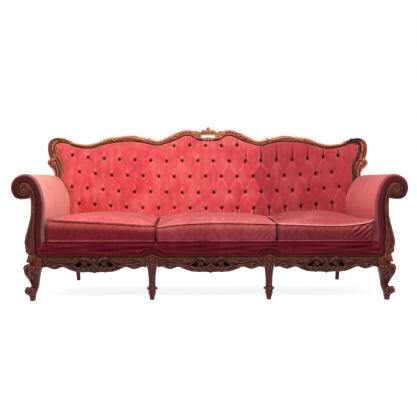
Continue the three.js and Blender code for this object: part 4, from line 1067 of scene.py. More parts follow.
def cushionLoft(side, low, high, grid, crown, flat=False):
    # top, boxing and underside as one closed form; grid is its points across, deep and up the boxing
    # flat leaves out the rise and fall of the front seam; level is 0 to 1 up the boxing, 2 on top, -1 below
    c, own = cushion, cushions[side]
    x, y, u, v = cushionPlan(low, high, own["taper"], *grid[:2])
    rise = np.polyval(np.polyfit(np.linspace(-1, 1, 5), own["front"], 4), u) * ((1 - v) / 2) ** 1.6
    seam = high[2] + (0 if flat else rise)
    dome = (1 - np.abs(u) ** 3) ** 1.1 * (1 - np.abs(v) ** 4) ** 0.6
    sag = c["sag"] * wrinkle(np.stack([x, y, 0 * x], -1), 420, own["seed"] + 1)
    top = seam + (crown + sag) * dome
    rim, rx, ry, nx, ny = cushionRim(x, y)
    edgeX, edgeY = rx - nx * c["inset"], ry - ny * c["inset"]
    upper = np.column_stack([x.ravel(), y.ravel(), top.ravel()])
    upper[rim] = np.column_stack([edgeX, edgeY, top.ravel()[rim]])
    lower = np.column_stack([x.ravel(), y.ravel(), np.full(x.size, low[2])])
    lower[rim] = np.column_stack([edgeX, edgeY, np.full(len(rim), low[2] + c["foot"])])
    rings = []
    heights = np.linspace(1, 0, grid[2] + 2)[1:-1]
    for up in heights:
        swell = c["bulge"] * math.sin(math.pi * up) ** 0.7 - c["inset"]
        z = lower[rim, 2] + (upper[rim, 2] - lower[rim, 2]) * up
        rings.append(np.column_stack([rx + nx * swell, ry + ny * swell, z]))
    n, m = x.size, len(rim)
    under = n + len(rings) * m
    i = np.arange(n).reshape(x.shape)
    face = np.stack([i[:-1, :-1], i[1:, :-1], i[1:, 1:], i[:-1, 1:]], -1).reshape(-1, 4)
    walls, above = [], rim
    for k in range(len(rings) + 1):
        here = n + k * m + np.arange(m) if k < len(rings) else under + rim
        walls.append(np.column_stack([above, here, np.roll(here, -1), np.roll(above, -1)]))
        above = here
    points = np.concatenate([upper, *rings, lower])
    part = facingOut((points, [face, *walls, face[:, ::-1] + under]))
    fixed = np.concatenate([rim, np.arange(under, len(points))])
    level = np.concatenate([np.full(n, 2.0), np.repeat(heights, m), np.full(n, -1.0)])
    level[rim], level[under + rim] = 1.0, 0.0
    return part, fixed, level, rim


def inflated(pieces):
    # cloth under pressure, held at its seams; every piece is simulated in the same steps
    c = cushion
    scene = bpy.context.scene
    for thing, fixed, resting in pieces:
        pins = thing.vertex_groups.new(name="pins")
        pins.add([int(k) for k in fixed], 1.0, "REPLACE")
        thing.shape_key_add(name="start", from_mix=False)
        key = thing.shape_key_add(name="rest", from_mix=False)
        key.data.foreach_set("co", (resting * mm).astype(np.float32).ravel())
        cloth = thing.modifiers.new("cloth", "CLOTH")
        cloth.collision_settings.use_collision = False
        cloth.point_cache.frame_end = c["frames"]
        how = cloth.settings
        how.quality = 5
        how.vertex_group_mass = "pins"
        how.rest_shape_key = key
        how.shrink_min = c["slack"]
        how.use_pressure = True
        how.uniform_pressure_force = c["pressure"]
        how.tension_stiffness = how.compression_stiffness = c["stiffness"]
        how.bending_stiffness = c["bending"]
        how.effector_weights.gravity = 0
    for step in range(1, c["frames"] + 1):
        scene.frame_set(step)
    graph = bpy.context.evaluated_depsgraph_get()
    result = [pointsOf(thing.evaluated_get(graph).data) / mm for thing, _, _ in pieces]
    scene.frame_set(1)
    for thing, _, _ in pieces:
        thing.modifiers.clear()
        thing.shape_key_clear()
        thing.vertex_groups.clear()
    return result


def dragLines(points, low, high, level):
    # slanting folds at the right end of a cushion's front
    d = dragSetup
    inward = high[0] - points[:, 0]
    beside = ease(*d["inner"], inward) * ease(*d["outer"], inward)
    near = ease(low[1] + d["front"][0], low[1] + d["front"][1], points[:, 1]) * beside
    near = near * ease(0.02, 0.25, level) * ease(1, 0.8, level)
    turn = (inward + d["slant"] * (points[:, 2] - low[2])) / d["pitch"] + 0.22 * wrinkle(points, 130, 31)
    return near * np.cos(2 * math.pi * turn)


def coverCushion(side, thing, points, level, drag):
    # the velvet cover, with painted shade over its boxing and under each seam, and painted light and shade
    # along its drag lines
    own = cushions[side]
    setPoints(thing.data, points * mm)
    thing.data.update()
    inBox = ((level > -0.5) & (level < 1.5)).astype(float)
    # painted shade: a dark band under the top seam and one over the foot seam
    underTop = inBox * own["dark"] * hump(level - 0.94, 0.05) * 1.3
    overFoot = 0.8 * inBox * hump(level - 0.04, 0.03)
    # painted shade over the boxing, strongest over its lower half
    setAttribute(thing.data, "nap", inBox * (0.35 + 0.65 * ease(0.98, 0.5, level)) * ease(-0.1, 0.1, level))
    # the drag lines are drawn out and also painted lighter and darker, as painted light and shade
    setAttribute(thing.data, "line", -underTop - overFoot + 0.6 * drag)
    finer = thing.modifiers.new("finer", "SUBSURF")
    finer.levels = finer.render_levels = 1
    mesh = applied(thing)
    addRidge(mesh, cushion["relief"], 8, valuesOf(mesh, "line"))
    # each seat takes its own copy of the velvet, lighter towards the left, as painted light
    dressed(thing, finish[side + "Seat"], "cushion_" + side, "velvet", "cushion_cover_" + side)


def pipeCushion(side, rings, middle):
    own = cushions[side]
    closed = [smoothLine(np.concatenate([ring, ring[:3]]), 2 * len(ring)) for ring in rings]
    piping = joined([tube(line, cushion["welt"], facing=(0, 0, 1), sides=8) for line in closed])
    thing = makeObject("seat_piping_" + side, piping)
    # painted shade on the lower piping; the upper piping gets the painted highlight that welt gives, a
    # painted shade where welt is below 0
    setAttribute(thing.data, "ridge", np.where(piping[0][:, 2] < middle, -0.4, own["welt"]))
    dressed(thing, finish["piping"], "cushion_" + side, "velvet")


def fillCushion(side, low, high):
    edge = cushion["core"]
    crown = cushions[side]["crown"] - cushion["coreLower"]
    core = cushionLoft(side, low + edge, high - edge, cushion["coreGrid"], crown)[0]
    thing = makeObject("seat_core_" + side, core)
    dressed(thing, finish["foam"], "cushion_" + side, "foam", "cushion_core_" + side)


def makeCushions():
    c = cushion
    grid = (c["across"], c["deep"], c["sideRows"])
    shaped = {}
    for side, own in cushions.items():
        low, high = cadSize("cushion_cover_" + side)
        high[2] = low[2] + c["height"]
        part, fixed, level, rim = cushionLoft(side, low, high, grid, own["crown"] * 0.85)
        resting = cushionLoft(side, low, high, grid, own["crown"], flat=True)[0][0]
        thing = makeObject("seat_cushion_" + side, part)
        shaped[side] = (thing, fixed, resting, part[0], level, rim, low, high)
    settled = inflated([row[:3] for row in shaped.values()])
    for (side, row), after in zip(shaped.items(), settled):
        thing, _, _, before, level, rim, low, high = row
        shift = after - before
        far = np.linalg.norm(shift, axis=1, keepdims=True)
        points = before + shift * c["cap"] * np.tanh(far / c["cap"]) / np.maximum(far, 1e-6)
        # short of the next cushion
        points[:, 0] = np.clip(points[:, 0], low[0] - c["gap"], high[0] + c["gap"])
        drag = cushions[side]["drag"] * dragLines(points, low, high, level)
        points[:, 1] -= dragSetup["lift"] * drag
        coverCushion(side, thing, points, level, drag)
        rings = (points[rim], points[len(points) - c["across"] * c["deep"] + rim])
        pipeCushion(side, rings, low[2] + c["height"] / 2)
        fillCushion(side, low, high)


makeCushions()
print("cushions ready")

# Arms

arm = {
    # x and height of the outline, how far it turns in towards the back, and the pad's thickness
    "line": [
        (946, 300, 38, 30), (946, 333, 38, 30), (948, 382, 38, 30), (942, 454, 36.5, 30),
        (937.5, 523, 35, 30), (941, 572, 30, 30), (952.5, 621, 23, 30), (968.5, 661, 15, 30),
        (996, 697, 7.6, 31.5), (1038, 714, 3.8, 33), (1079, 705, 1.9, 33), (1107.5, 683, 0, 33),
        (1121.5, 651, 0, 31.5), (1119.5, 613, 0, 27), (1099, 580.5, 0, 21), (1070, 570.5, 0, 18),
        (1032.5, 575, 0, 16.5), (1011, 580.5, 0, 15),
    ],
    "fall": 10.0, "frontY": -386.0, "frontRound": 26.0, "samples": 240, "rows": 64, "pleatPitch": 14.0,
    "pleat": 1.2, "gimpLap": 3.0, "stileProud": 28.4, "foot": 300, "footToTop": 328, "pleatsFrom": (330, 400),
    "fade": 45, "soft": 0.8, "crease": 2.2, "creases": 13, "creaseHigh": 460, "creaseWide": 90, "relief": 1.6,
}


def armLines():
    line = smoothLine(arm["line"], arm["samples"])
    return line, sideOf(line[:, :2])


def makeArm(side, sign, material, topShade):
    a = arm
    line, outward = armLines()
    thick = line[:, 3]
    far = distances(line[:, :2])
    rows, inner = [], []
    pleats = a["pleat"] * ease(*a["pleatsFrom"], far) * np.cos(2 * math.pi * far / a["pleatPitch"])
    seat = thick - a["gimpLap"]  # the braid lies over the rest
    front = [(thick - 1, a["frontY"], 0.0), (seat, a["frontY"] - 0.3, 0.15)]
    for angle in np.linspace(0, math.pi / 2, 15):
        y = a["frontY"] - 2.5 * math.sin(2 * angle) + a["frontRound"] * (1 - math.cos(angle))
        front.append(((seat - 1) * (1 - math.sin(angle)), y, math.sin(2 * angle) + 0.25))

    def addRow(flat, y, hidden, hiddenY):
        rows.append(np.column_stack([flat[:, 0], y, flat[:, 1]]))
        inner.append(np.column_stack([hidden[:, 0], hiddenY, hidden[:, 1]]))

    for inset, y, weight in front:
        ripple = pleats * weight
        flat = line[:, :2] - outward * (inset - ripple * 0.7)[:, None]
        behind = np.full(len(line), max(y, a["frontY"]) + 0.5)
        addRow(flat, np.full(len(line), y) - ripple, line[:, :2] - outward * thick[:, None], behind)
    startY = a["frontY"] + a["frontRound"]
    for share in np.linspace(0, 1, a["rows"])[1:]:
        x = line[:, 0] - share * line[:, 2]
        z = line[:, 1] - share * a["fall"] * (line[:, 1] - a["foot"]) / a["footToTop"]
        y = startY + share * (backPlane(z, a["stileProud"]) - startY)
        crease = pleats * np.exp(-((y - startY) / a["fade"])) * 0.5
        soft = a["soft"] * wrinkle(np.column_stack([x, y, z]), 140, 41 + (sign > 0), stretch=(1, 1, 1.6))
        soft = soft * ease(0, 0.1, share) * ease(0, 40, far)
        wave = np.maximum(0, np.cos(2 * math.pi * share * a["creases"]))
        low = hump(z - a["creaseHigh"], a["creaseWide"]) * (far < 420)
        crease = crease - ease(0.72, 0.97, share) * a["crease"] * wave * low
        middle = np.column_stack([x, z])
        addRow(middle + outward * (crease + soft)[:, None], y, middle - outward * thick[:, None], y)
    points, faces = slab(np.array(rows), np.array(inner))
    thing = makeObject("arm_cushion_" + side, facingOut((points * (sign, 1, 1), faces)))
    addRidge(thing.data, a["relief"], 6)
    # painted shade on faces that turn forwards and near the front edge, and by topShade on faces that turn up
    frontal = ease(a["frontY"] + 72, a["frontY"] + 18, pointsOf(thing.data)[:, 1] / mm)
    _, outY, outZ = readAll(thing.data.vertices, "normal", 3).T
    nap = np.maximum(ease(0.04, 0.85, -outY), 0.75 * frontal**2)
    setAttribute(thing.data, "nap", np.maximum(nap, topShade * ease(0.1, 0.9, outZ)))
    dressed(thing, material, "frame", "velvet", "arm_pad_" + side)


makeArm("right", 1, finish["arm"], 0.3)
# the left arm takes a lit copy of the arm velvet, as painted light
makeArm("left", -1, finish["faded"], 0)
print("arms ready")

# Upholstered border under the cushions, the deck they lie on, and the cloth outside

# the border climbs over the middle leg, and its lining follows the aprons
middleLeg = {
    "x": 332.0, "y": -372.0, "depth": 0.86, "face": -398.0, "back": -366, "flute": 0.15, "squareness": 2.5,
    # heights where flutes start and end, the rosette's radius and height, the collar's half sizes and height
    "upperFlutes": ((80, 92), (176, 198)), "lowerFlutes": ((4, 10), (34, 42)),
    "rosette": (10, 234), "collar": (26, 23, 66),
    "shield": [
        (-31, 196), (31, 196), (31, 229), (25, 246), (11, 257), (0, 261), (-11, 257), (-25, 246), (-31, 229),
    ],
    "arch": [(-28, 212), (-26, 240), (-12, 254), (0, 258), (12, 254), (26, 240), (28, 212)],
    "shape": [
        (0, 12.5), (20, 16), (38, 20.5), (46, 22.5), (50, 20), (54, 19.5), (58, 25), (66, 27.5), (73, 25.5),
        (77, 20.5), (90, 19.5), (113, 20), (150, 23), (170, 25.5), (190, 29), (204.6, 32),
    ],
}
apron = {"face": -392.0, "middle": (0.0, 300.6), "side": (655.0, 291.7)}  # centre and half width of each
border = {
    "columns": 520, "rows": 34, "foot": 242.4, "top": 331.0, "wide": 975.6, "narrow": 945.6,
    "step": 299.4, "corner": 45.0,
    "front": -386.0, "back": -362.0, "hop": 26, "hopWide": 62, "tuck": 17, "tuckHigh": 13, "relief": 0.9,
}
lining = {
    "front": -365, "back": -362, "strip": [(-930, 205), (930, 205), (930, 262), (-930, 262)],
    "lobe": [(-178, 204), (-150, 186), (-125, 176), (-100, 170), (-60, 170), (0, 168)],
    "shoulder": (178, 212),
}
deck = {"columns": 150, "rows": 60, "narrows": 37, "edge": 12, "below": 3.3, "dome": 2.6, "soft": 0.5}
# rise of the cloth over its edges, how far in it reaches that, and how uneven it is
outsideArm = {"back": 2, "rise": 5, "edge": 22, "soft": 1.1, "lowUntil": 297, "lowRearY": 298.4}
outsideBack = {"rim": 5.4, "inner": 0.4, "outer": 2, "rise": 4.5, "edge": 26, "soft": 1.6}
rearBorder = {"outer": 2, "rise": 4, "edge": 12}


def makeBorder():
    b = border
    u = np.linspace(-1, 1, b["columns"])[:, None]
    z = np.linspace(b["foot"], b["top"], b["rows"])[None, :]
    drop = np.maximum(b["foot"] + b["corner"] - z, 0)
    half = b["wide"] - b["corner"] + np.sqrt(np.maximum(b["corner"] ** 2 - drop**2, 0))
    half = np.where(z > b["step"], b["narrow"], half)
    x = u * half
    z = z + 0 * x
    place = sheetPlace(x, z)
    folds = 2.4 * wrinkle(place, 26, 51, stretch=(9, 1, 1)) + 2.0 * wrinkle(place, 60, 52, stretch=(4, 1, 1))
    # the braid climbs over the middle legs here
    above = z - b["foot"] - b["hop"] * hump(np.abs(x) - middleLeg["x"], b["hopWide"], 4)
    folds = folds * ease(20, 38, above) * (1 - ease(b["top"] - 16, b["top"], z))
    tuck = b["tuck"] * np.maximum(0, (z - b["top"] + b["tuckHigh"]) / b["tuckHigh"]) ** 2.2
    part = backed(x, b["front"] - 3 * ease(14, 30, above) - folds + tuck, z, 1, b["back"])
    thing = makeObject("seat_border", part)
    # a painted shadow along the border's top, under the cushions
    addRidge(thing.data, b["relief"], 6, -1.2 * ease(314, 325, part[0][:, 2]))
    dressed(thing, finish["border"], "frame", "velvet", "front_border")


def makeLining():
    # the dark cloth behind the aprons' piercings
    cloth = lining
    half = [(-x, z) for x, z in cloth["lobe"][-2::-1]]
    shoulderX, shoulderZ = cloth["shoulder"]
    lobe = [*cloth["lobe"], *half, (shoulderX, shoulderZ), (-shoulderX, shoulderZ)]
    parts = [plate(cloth["strip"], cloth["front"], cloth["back"])]
    for (centre, wide), ways in ((apron["middle"], (1,)), (apron["side"], (1, -1))):
        for way in ways:
            outline = [(way * (centre + x * wide / apron["middle"][1]), z) for x, z in lobe][::way]
            parts.append(plate(outline, cloth["front"], cloth["back"]))
    dressed(makeObject("apron_lining", joined(parts)), finish["lining"], "frame", "velvet")


def softPanel(name, node, part, place=standing):
    thing = makeObject(name, part, place)
    addRidge(thing.data, 1.2, 6)
    dressed(thing, finish["outside"], "frame", "velvet", node)


def makeDeck():
    d = deck
    low, high = cadSize("seat_deck_pad")
    u = np.linspace(-1, 1, d["columns"])[:, None]
    v = np.linspace(0, 1, d["rows"])[None, :]
    x = u * (high[0] - d["narrows"] * v)
    y = low[1] + v * (high[1] - low[1]) + 0 * x
    edge = np.minimum(1, np.minimum(1 - np.abs(u), np.minimum(v, 1 - v) * 2) * d["edge"] + 0.02)
    soft = d["soft"] * wrinkle(np.stack([x, y, 0 * x], -1), 90, 61)
    top = high[2] - d["below"] + d["dome"] * np.sqrt(edge) + soft * edge
    softPanel("seat_deck", "seat_deck_pad", backed(x, y, np.minimum(top, high[2]), 2, low[2]))


def makeOutsideArms():
    a = outsideArm
    low, high = cadSize("outside_arm_right")
    z = np.linspace(low[2], high[2], 90)[None, :]
    t = np.linspace(0, 1, 120)[:, None]
    rearEdge = np.where(z < a["lowUntil"], a["lowRearY"], backPlane(z, -backFrame["thick"]))
    y = low[1] + t * (rearEdge - low[1])
    z = z + 0 * y
    edge = np.minimum(np.minimum(t, 1 - t) * 14, np.minimum(z - low[2], high[2] - z) / a["edge"])
    soft = a["soft"] * wrinkle(np.stack([0 * y, y, z], -1), 120, 71)
    x = high[0] - a["back"] + np.sqrt(np.clip(edge, 0, 1)) * (a["rise"] + soft)
    for side, sign in (("right", 1), ("left", -1)):
        part = backed(x * sign, y, z, 0, low[0] * sign)
        softPanel("outside_arm_cloth_" + side, "outside_arm_" + side, part)


def makeOutsideBack():
    b, thick = outsideBack, backFrame["thick"]
    outline = outlineOf("outside_back", thick + b["rim"])
    x, z = gridOver(outline, 300, 100)
    soft = b["soft"] * wrinkle(sheetPlace(x, z), 160, 72, stretch=(1, 1, 2))
    edge = np.clip(insideOf(outline, x, z) / b["edge"], 0, 1)
    y = thick + b["outer"] + np.sqrt(edge) * (b["rise"] + soft)
    softPanel("outside_back_cloth", "outside_back", backed(x, y, z, 1, thick + b["inner"]), leaned)


def makeRearBorder():
    low, high = cadSize("rear_border")
    x, z = np.meshgrid(np.linspace(low[0], high[0], 200), np.linspace(low[2], high[2], 24), indexing="ij")
    edge = np.clip(np.minimum(z - low[2], high[2] - z) / rearBorder["edge"], 0, 1)
    y = low[1] + rearBorder["outer"] + rearBorder["rise"] * np.sqrt(edge)
    softPanel("rear_border_cloth", "rear_border", backed(x, y, z, 1, low[1]))


makeBorder()
makeLining()
makeDeck()
makeOutsideArms()
makeOutsideBack()
makeRearBorder()
print("outside cloth ready")

# Braid: ribbed, slightly domed tape. Crest edges, in the back frame, are where the back's braid lies

braid = {
    "rib": 10.5, "fine": 1.1, "across": 9, "lift": 4.2, "armWide": 14, "frontWide": 13, "backWide": 9,
    "y": -386.4, "backY": -28.4, "gap": 4, "aboveLow": 5, "level": 250,
    # x of the front's braid on each side of its climb over a middle leg, and its end
    "beforeHop": (60, 180, 240), "afterHop": (430, 600, 800), "end": 932,
    # the turn at the foot of the arm's braid: middle, half sizes, degrees
    "cornerAt": (931.4, 287), "cornerSize": (48, 38), "cornerTurn": (-88, -66, -44, -22, 0),
    "hop": [(276, 250), (295, 263), (317, 272), (332, 274), (347, 272), (369, 263), (388, 250)],
}
crest = {
    "topEdge": [
        (79, 690), (100, 700), (130, 706), (162, 704), (191, 696), (230, 673), (270, 652), (300, 641),
        (335, 632), (362, 635), (390, 644), (430, 653), (505, 668), (590, 659), (630, 652), (670, 644),
        (708, 629), (750, 616), (805, 606), (845, 608), (880, 615), (909, 625),
    ],
    "lowEdge": [
        (0, 630), (67, 636), (90, 648), (113, 659), (153, 664), (212, 636), (278, 612), (318, 600),
        (350, 597), (410, 612), (508, 626), (626, 616), (705, 599), (784, 577), (830, 579), (870, 586),
        (909, 598), (954, 610), (1005, 605),
    ],
    "front": -22.0, "height": 12.0, "back": 20, "from": 90, "to": 909,
    "clusters": ((212, 292, 6, 17), (632, 716, 6, 15)),  # start, end, leaves, their width
    "scrollEnds": ((392, 6, 1), (372, -2, -1), (915, 2, 1)),  # x, lift, way it turns
    "carving": [
        ("leaf", [(400, -3, 636), (440, 0, 642), (490, 0, 652), (540, -2, 654)], 15, 4, 5),
        ("leaf", [(560, -2, 652), (600, 0, 646), (640, 0, 638)], 13, 4, 4),
        ("volute", (103, 684), (13, 4), 1.4, 20, (4.5, 2.6), 1, 1),
    ],
}


def tape(points, width, y, name, node, place=standing):
    line = np.asarray(points, float)
    long = distances(line)[-1]
    steps = int(long / braid["fine"])
    line = smoothLine(line, steps)
    c = np.linspace(-1, 1, braid["across"])
    flat = line[:, None] + sideOf(line)[:, None] * (c * width / 2)[:, None]
    far = np.linspace(0, long, steps)[:, None]
    rib = np.abs(np.sin(math.pi * (far + 1.2 * np.abs(c)) / braid["rib"]))
    lift = braid["lift"] * np.sqrt(1 - 0.75 * c**4) * (0.5 + 0.5 * rib)
    thing = makeObject(name, backed(flat[..., 0], y - lift, flat[..., 1], 1, y), place)
    addRidge(thing.data, 1.2, 3)
    dressed(thing, finish["braid"], "frame", "braid", node)


def gimpLine():
    line, outward = armLines()
    inner = line[:, :2] - outward * (line[:, 3:4] + braid["gap"])
    (x, z), (wide, high) = braid["cornerAt"], braid["cornerSize"]
    corner = [(x + wide * math.cos(a), z + high * math.sin(a)) for a in np.radians(braid["cornerTurn"])]
    return np.concatenate([corner, inner[10:-4:6]])


def makeBraids():
    b = braid
    seam = gimpLine()
    tape(seam, b["armWide"], b["y"], "arm_braid_right", "arm_gimp_right")
    tape(seam[::-1] * (-1, 1), b["armWide"], b["y"], "arm_braid_left", "arm_gimp_left")
    before, after = ([(x, b["level"]) for x in b[key]] for key in ("beforeHop", "afterHop"))
    right = [*before, *b["hop"], *after, (b["end"], b["level"] - 0.5)]
    tape([(-x, z) for x, z in right[::-1]] + right, b["frontWide"], b["y"], "front_braid", "front_gimp")
    low = np.array(crest["lowEdge"])[:-2] + (0, b["aboveLow"])
    whole = np.concatenate([low[:0:-1] * (-1, 1), low])
    tape(whole, b["backWide"], b["backY"], "back_braid", "back_gimp", leaned)


# Crest


def cutEdge(points, start, end):
    # the stretch of an edge between two values of x
    points = np.array(points, float)
    xs = np.unique(np.concatenate([[start, end], points[(points[:, 0] > start) & (points[:, 0] < end), 0]]))
    return np.column_stack([xs, np.interp(xs, points[:, 0], points[:, 1])])


def makeCrest():
    c = crest
    top, low = cutEdge(c["topEdge"], c["from"], c["to"]), cutEdge(c["lowEdge"], c["from"], c["to"])
    rows = []
    for start, end, count, size in c["clusters"]:
        for k in range(count):
            x = start + (end - start) * (k + 0.5) / count
            z = np.interp(x, top[:, 0], top[:, 1])
            line = [(x - 9, -4, z - 14), (x - 2, 1, z - 5), (x + 5, -3, z + 5)]
            rows += [("leaf", line, size, 5.5, 2, 16, 7), ("bead", (x + 3, -6, z + 1), (5, 6, 5), 7)]
        z = np.interp(start - 4, top[:, 0], top[:, 1])
        rows.append(("volute", (start - 6, z - 14), (11, 4), 1.2, 80, (4, 2.4), 0, 1))
    # small scroll ends that stand up in the troughs and beside the ear
    for x, lift, way in c["scrollEnds"]:
        z = np.interp(x, top[:, 0], top[:, 1]) + lift - 4
        rows.append(("volute", (x, z), (8, 3), 1.1, 200, (4, 2.6), -5, way))
        rows.append(("bead", (x, -8, z + 4), (6, 7, 6), 7))
    rail = band(low, top, crestProfile, c["front"], c["height"], c["back"], 240, 25)
    carved = carvings(rows + c["carving"], c["front"] - c["height"])
    parts = [uprightPart("crest_rail_right"), rail, *carved]
    carve("carved_crest", parts, "crest_rail", "crest", smoothing=3, place=leaned)


cartouche = {
    "face": -31.0,
    "pair": [
        ("rope", [(4, 692), (30, 691), (52, 686), (70, 690), (86, 696)], (6, 7, 6, 5), 0),
        ("rope", [(2, 643), (30, 645), (54, 650), (72, 652), (92, 660)], (8, 7, 6, 6), 0),
        ("volute", (68, 670), (19, 5), 1.5, 265, (5, 3), 1, -1),
        ("volute", (84, 690), (11, 4), 1.2, 250, (4.5, 2.6), 1, 1),
        ("leaf", [(6, 2, 692), (26, 4, 698), (50, 2, 695)], 15, 6, 3),
        ("leaf", [(6, 2, 640), (26, 5, 641), (46, 2, 650)], 16, 6, 3),
        ("bead", (34, 5, 699), 4.5, 8), ("bead", (45, 5, 697), 3.6, 8),
        ("bead", (58, 5, 656), 4, 8), ("bead", (66, 5, 648), 3.4, 8),
    ],
    "middle": [
        ("bead", (0, -11, 700), (17, 14, 7)), ("bead", (0, -11, 709), (9, 9, 6)),
        ("bead", (0, -11, 717), (10, 9, 7)), ("bead", (0, -11, 725), (5, 5, 6)),
        ("bead", (0, 4, 644), (9, 8, 9)), ("leaf", [(0, 3, 655), (0, 7, 641), (0, 2, 629)], 22, 6, 3),
    ],
}


def makeCartouche():
    c = cartouche
    parts = both(carvings(c["pair"], c["face"])) + carvings(c["middle"], c["face"])
    parts.append(uprightPart("crest_cartouche"))
    carve("carved_cartouche", parts, "crest_cartouche", "crest", voxel=1.6, place=leaned, paired=False)


stile = {
    "face": -30.0, "shade": 1.5, "shadeFrom": 28, "shadeTo": 8,
    "carving": [
        ("moulding", [
            (905, 617), (945, 629), (1000, 640), (1028, 633), (1044, 618), (1052, 588), (1051, 562),
            (1044, 534), (1030, 519), (1012, 515),
        ], (20, 24, 26, 24, 20, 13), -4, 13, 0),
        ("volute", (1008, 527), (13, 4), 1.4, 260, (5.5, 3), 5, 1),
        ("rope", [
            (912, 600), (955, 611), (990, 609), (1006, 598), (1004, 556), (990, 516), (968, 478), (958, 428),
            (963, 392), (960, 350),
        ], (4, 5, 5, 4), 3),
        ("moulding", [(1010, 500), (1000, 476), (985, 440), (981, 400), (983, 350), (975, 310)],
            (22, 34, 40, 36, 34, 30), -4, 12, 0),
        ("leaf", [(998, 2, 508), (1028, 8, 503), (1050, 4, 489), (1061, -6, 470)], 26, 9, 3, 44, 13, 0.5),
        ("volute", (1018, 478), (15, 4), 1.3, 60, (5, 3), 4, -1),
        ("rope", [(1046, 462), (1024, 440), (1012, 418), (1008, 380), (1004, 340)], (6, 5, 4), 0),
        ("leaf", [(940, -2, 632), (958, 4, 641), (978, 0, 641)], 18, 6, 3),
        ("leaf", [(996, 2, 628), (1020, 7, 612), (1030, 6, 580), (1026, 4, 550)], 17, 5, 5),
    ],
}


def makeStile():
    s = stile
    parts = [uprightPart("stile_right"), *carvings(s["carving"], s["face"])]
    thing = carve("carved_stile", parts, "stile", "stile", smoothing=3, place=leaned)
    flat = upright(pointsOf(thing.data) / mm)
    shade = s["shade"] * ease(s["shadeFrom"], s["shadeTo"], flat[:, 0] - sideAt(backOutline, flat[:, 2]))
    setAttribute(thing.data, "ridge", valuesOf(thing.data, "ridge") - shade)  # in the pad's shade


armFacing = {
    "face": -399.0,
    "carving": [
        ("moulding", [
            (1019, 215), (1008, 250), (1012, 285), (1020, 325), (1017, 365), (1006, 410), (997, 450),
            (994, 490), (992, 530), (991, 565), (995, 597), (1007, 634), (1026, 656), (1047, 660),
            (1066, 649), (1074, 628), (1068, 606), (1050, 596), (1031, 603), (1024, 620), (1031, 635),
            (1045, 636),
        ], [44, 30, 34, 38, 38, 34, 29, 25, 23, 23, 23, 20, 19, 18, 17, 16, 14, 13, 11, 10, 8, 6], -4,
            [9] * 12 + [12] * 10, -380, 260),
        ("bead", (1042, 7, 626), 7),
        ("volute", (1020, 284), (16, 5), 1.4, 80, (5, 3), 6, -1),
        ("rope", [(1029, 300), (1037, 326), (1032, 360), (1022, 400), (1010, 445), (1002, 484), (998, 524)],
            (6, 7, 6, 5, 4), 1),
        ("leaf", [(1012, 5, 266), (1006, 8, 244), (1010, 6, 214)], 19, 6, 4),
        ("leaf", [(990, 2, 262), (992, 5, 240), (1000, 4, 216)], 15, 5, 4),
        ("leaf", [(1026, 2, 250), (1022, 6, 236), (1012, 5, 216)], 14, 5, 3),
        ("bead", (1022, -7, 252), (6, 9, 7)),
        ("leaf", [(1000, 2, 560), (996, 6, 520), (1001, 5, 480), (1010, 3, 440)], 15, 4, 5),
    ],
}


def makeFacing():
    parts = [cadPart("arm_facing_right"), *carvings(armFacing["carving"], armFacing["face"])]
    carve("carved_facing", parts, "arm_facing", "facing")


# Aprons

apronRows = {
    "pair": [
        ("leaf", [(6, 0, 203), (30, 6, 184), (66, 8, 176), (102, 6, 187), (126, 0, 205)], 30, 9, 5),
        ("leaf", [(8, 0, 210), (28, 6, 228), (56, 8, 240), (80, 6, 236), (90, 2, 222)], 19, 7, 4),
        ("leaf", [(92, 2, 214), (120, 5, 224), (150, 4, 220), (186, 2, 208)], 16, 6, 4),
        ("leaf", [(120, 0, 192), (150, 5, 196), (188, 4, 204), (228, 0, 206)], 14, 6, 4),
        ("volute", (104, 219), (13, 4), 1.5, 200, (4, 2.4), 4, -1),
        ("volute", (52, 208), (11, 3.5), 1.4, 20, (4, 2.4), 4, 1),
        ("volute", (26, 219), (8, 3), 1.2, 120, (3.4, 2.2), 4, -1),
        ("leaf", [(212, 0, 200), (231, 5, 193), (250, 0, 198)], 16, 6, 3),
        ("leaf", [(231, 1, 206), (231, 6, 192), (231, 1, 180)], 22, 6, 3),
        ("rope", [(268, 202), (246, 210), (220, 207), (196, 198)], (3, 4, 3), 2),
        ("rope", [(284, 216), (262, 226), (232, 228), (204, 222), (172, 228), (146, 233)], (2.4, 4, 4, 3), 1),
        ("rope", [(150, 209), (172, 216), (192, 214), (204, 206)], (3, 3.6, 2.6), 2),
        ("rope", [(30, 172), (64, 165), (100, 172), (140, 186), (186, 194), (212, 192)], (3, 4, 4, 3), 1),
        ("volute", (146, 225), (9, 3), 1.3, 300, (3.4, 2.2), 3, 1),
        ("volute", (196, 214), (8, 3), 1.2, 160, (3.2, 2), 2, -1),
        ("volute", (276, 213), (8, 3), 1.2, 40, (3.2, 2), 1, 1),
        ("bead", (118, 4, 206), 4.5, 8), ("bead", (70, 4, 222), 4, 8),
        ("bead", (38, 4, 192), 4.5, 8), ("bead", (168, 4, 205), 3.6, 8),
    ],
    "shell": (0.28, 0.6, 0.95), "shellLong": 40, "shellZ": 204,
    "middle": [
        ("leaf", [(0, 3, 206), (0, 10, 184), (0, 3, 161)], 13, 7, 2, 24, 9),
        ("bead", (0, 8, 208), (9, 8, 8)), ("bead", (0, 4, 160), (6, 7, 6)),
        ("leaf", [(0, 2, 212), (0, 8, 228), (0, 3, 246)], 22, 7, 3),
    ],
}
sideApron = {
    "x": 1022.0, "middle": -32, "voxel": 2.2, "beadZ": 237, "beadY": (-355, 0, 292),
    "edge": [(-330, 198), (-250, 202), (-130, 194), (-30, 178), (60, 194), (200, 202), (292, 197)],
    "leafY": (6, 44, 86, 120), "low": (205, 190, 198, 214), "high": (212, 226, 228, 216),
}


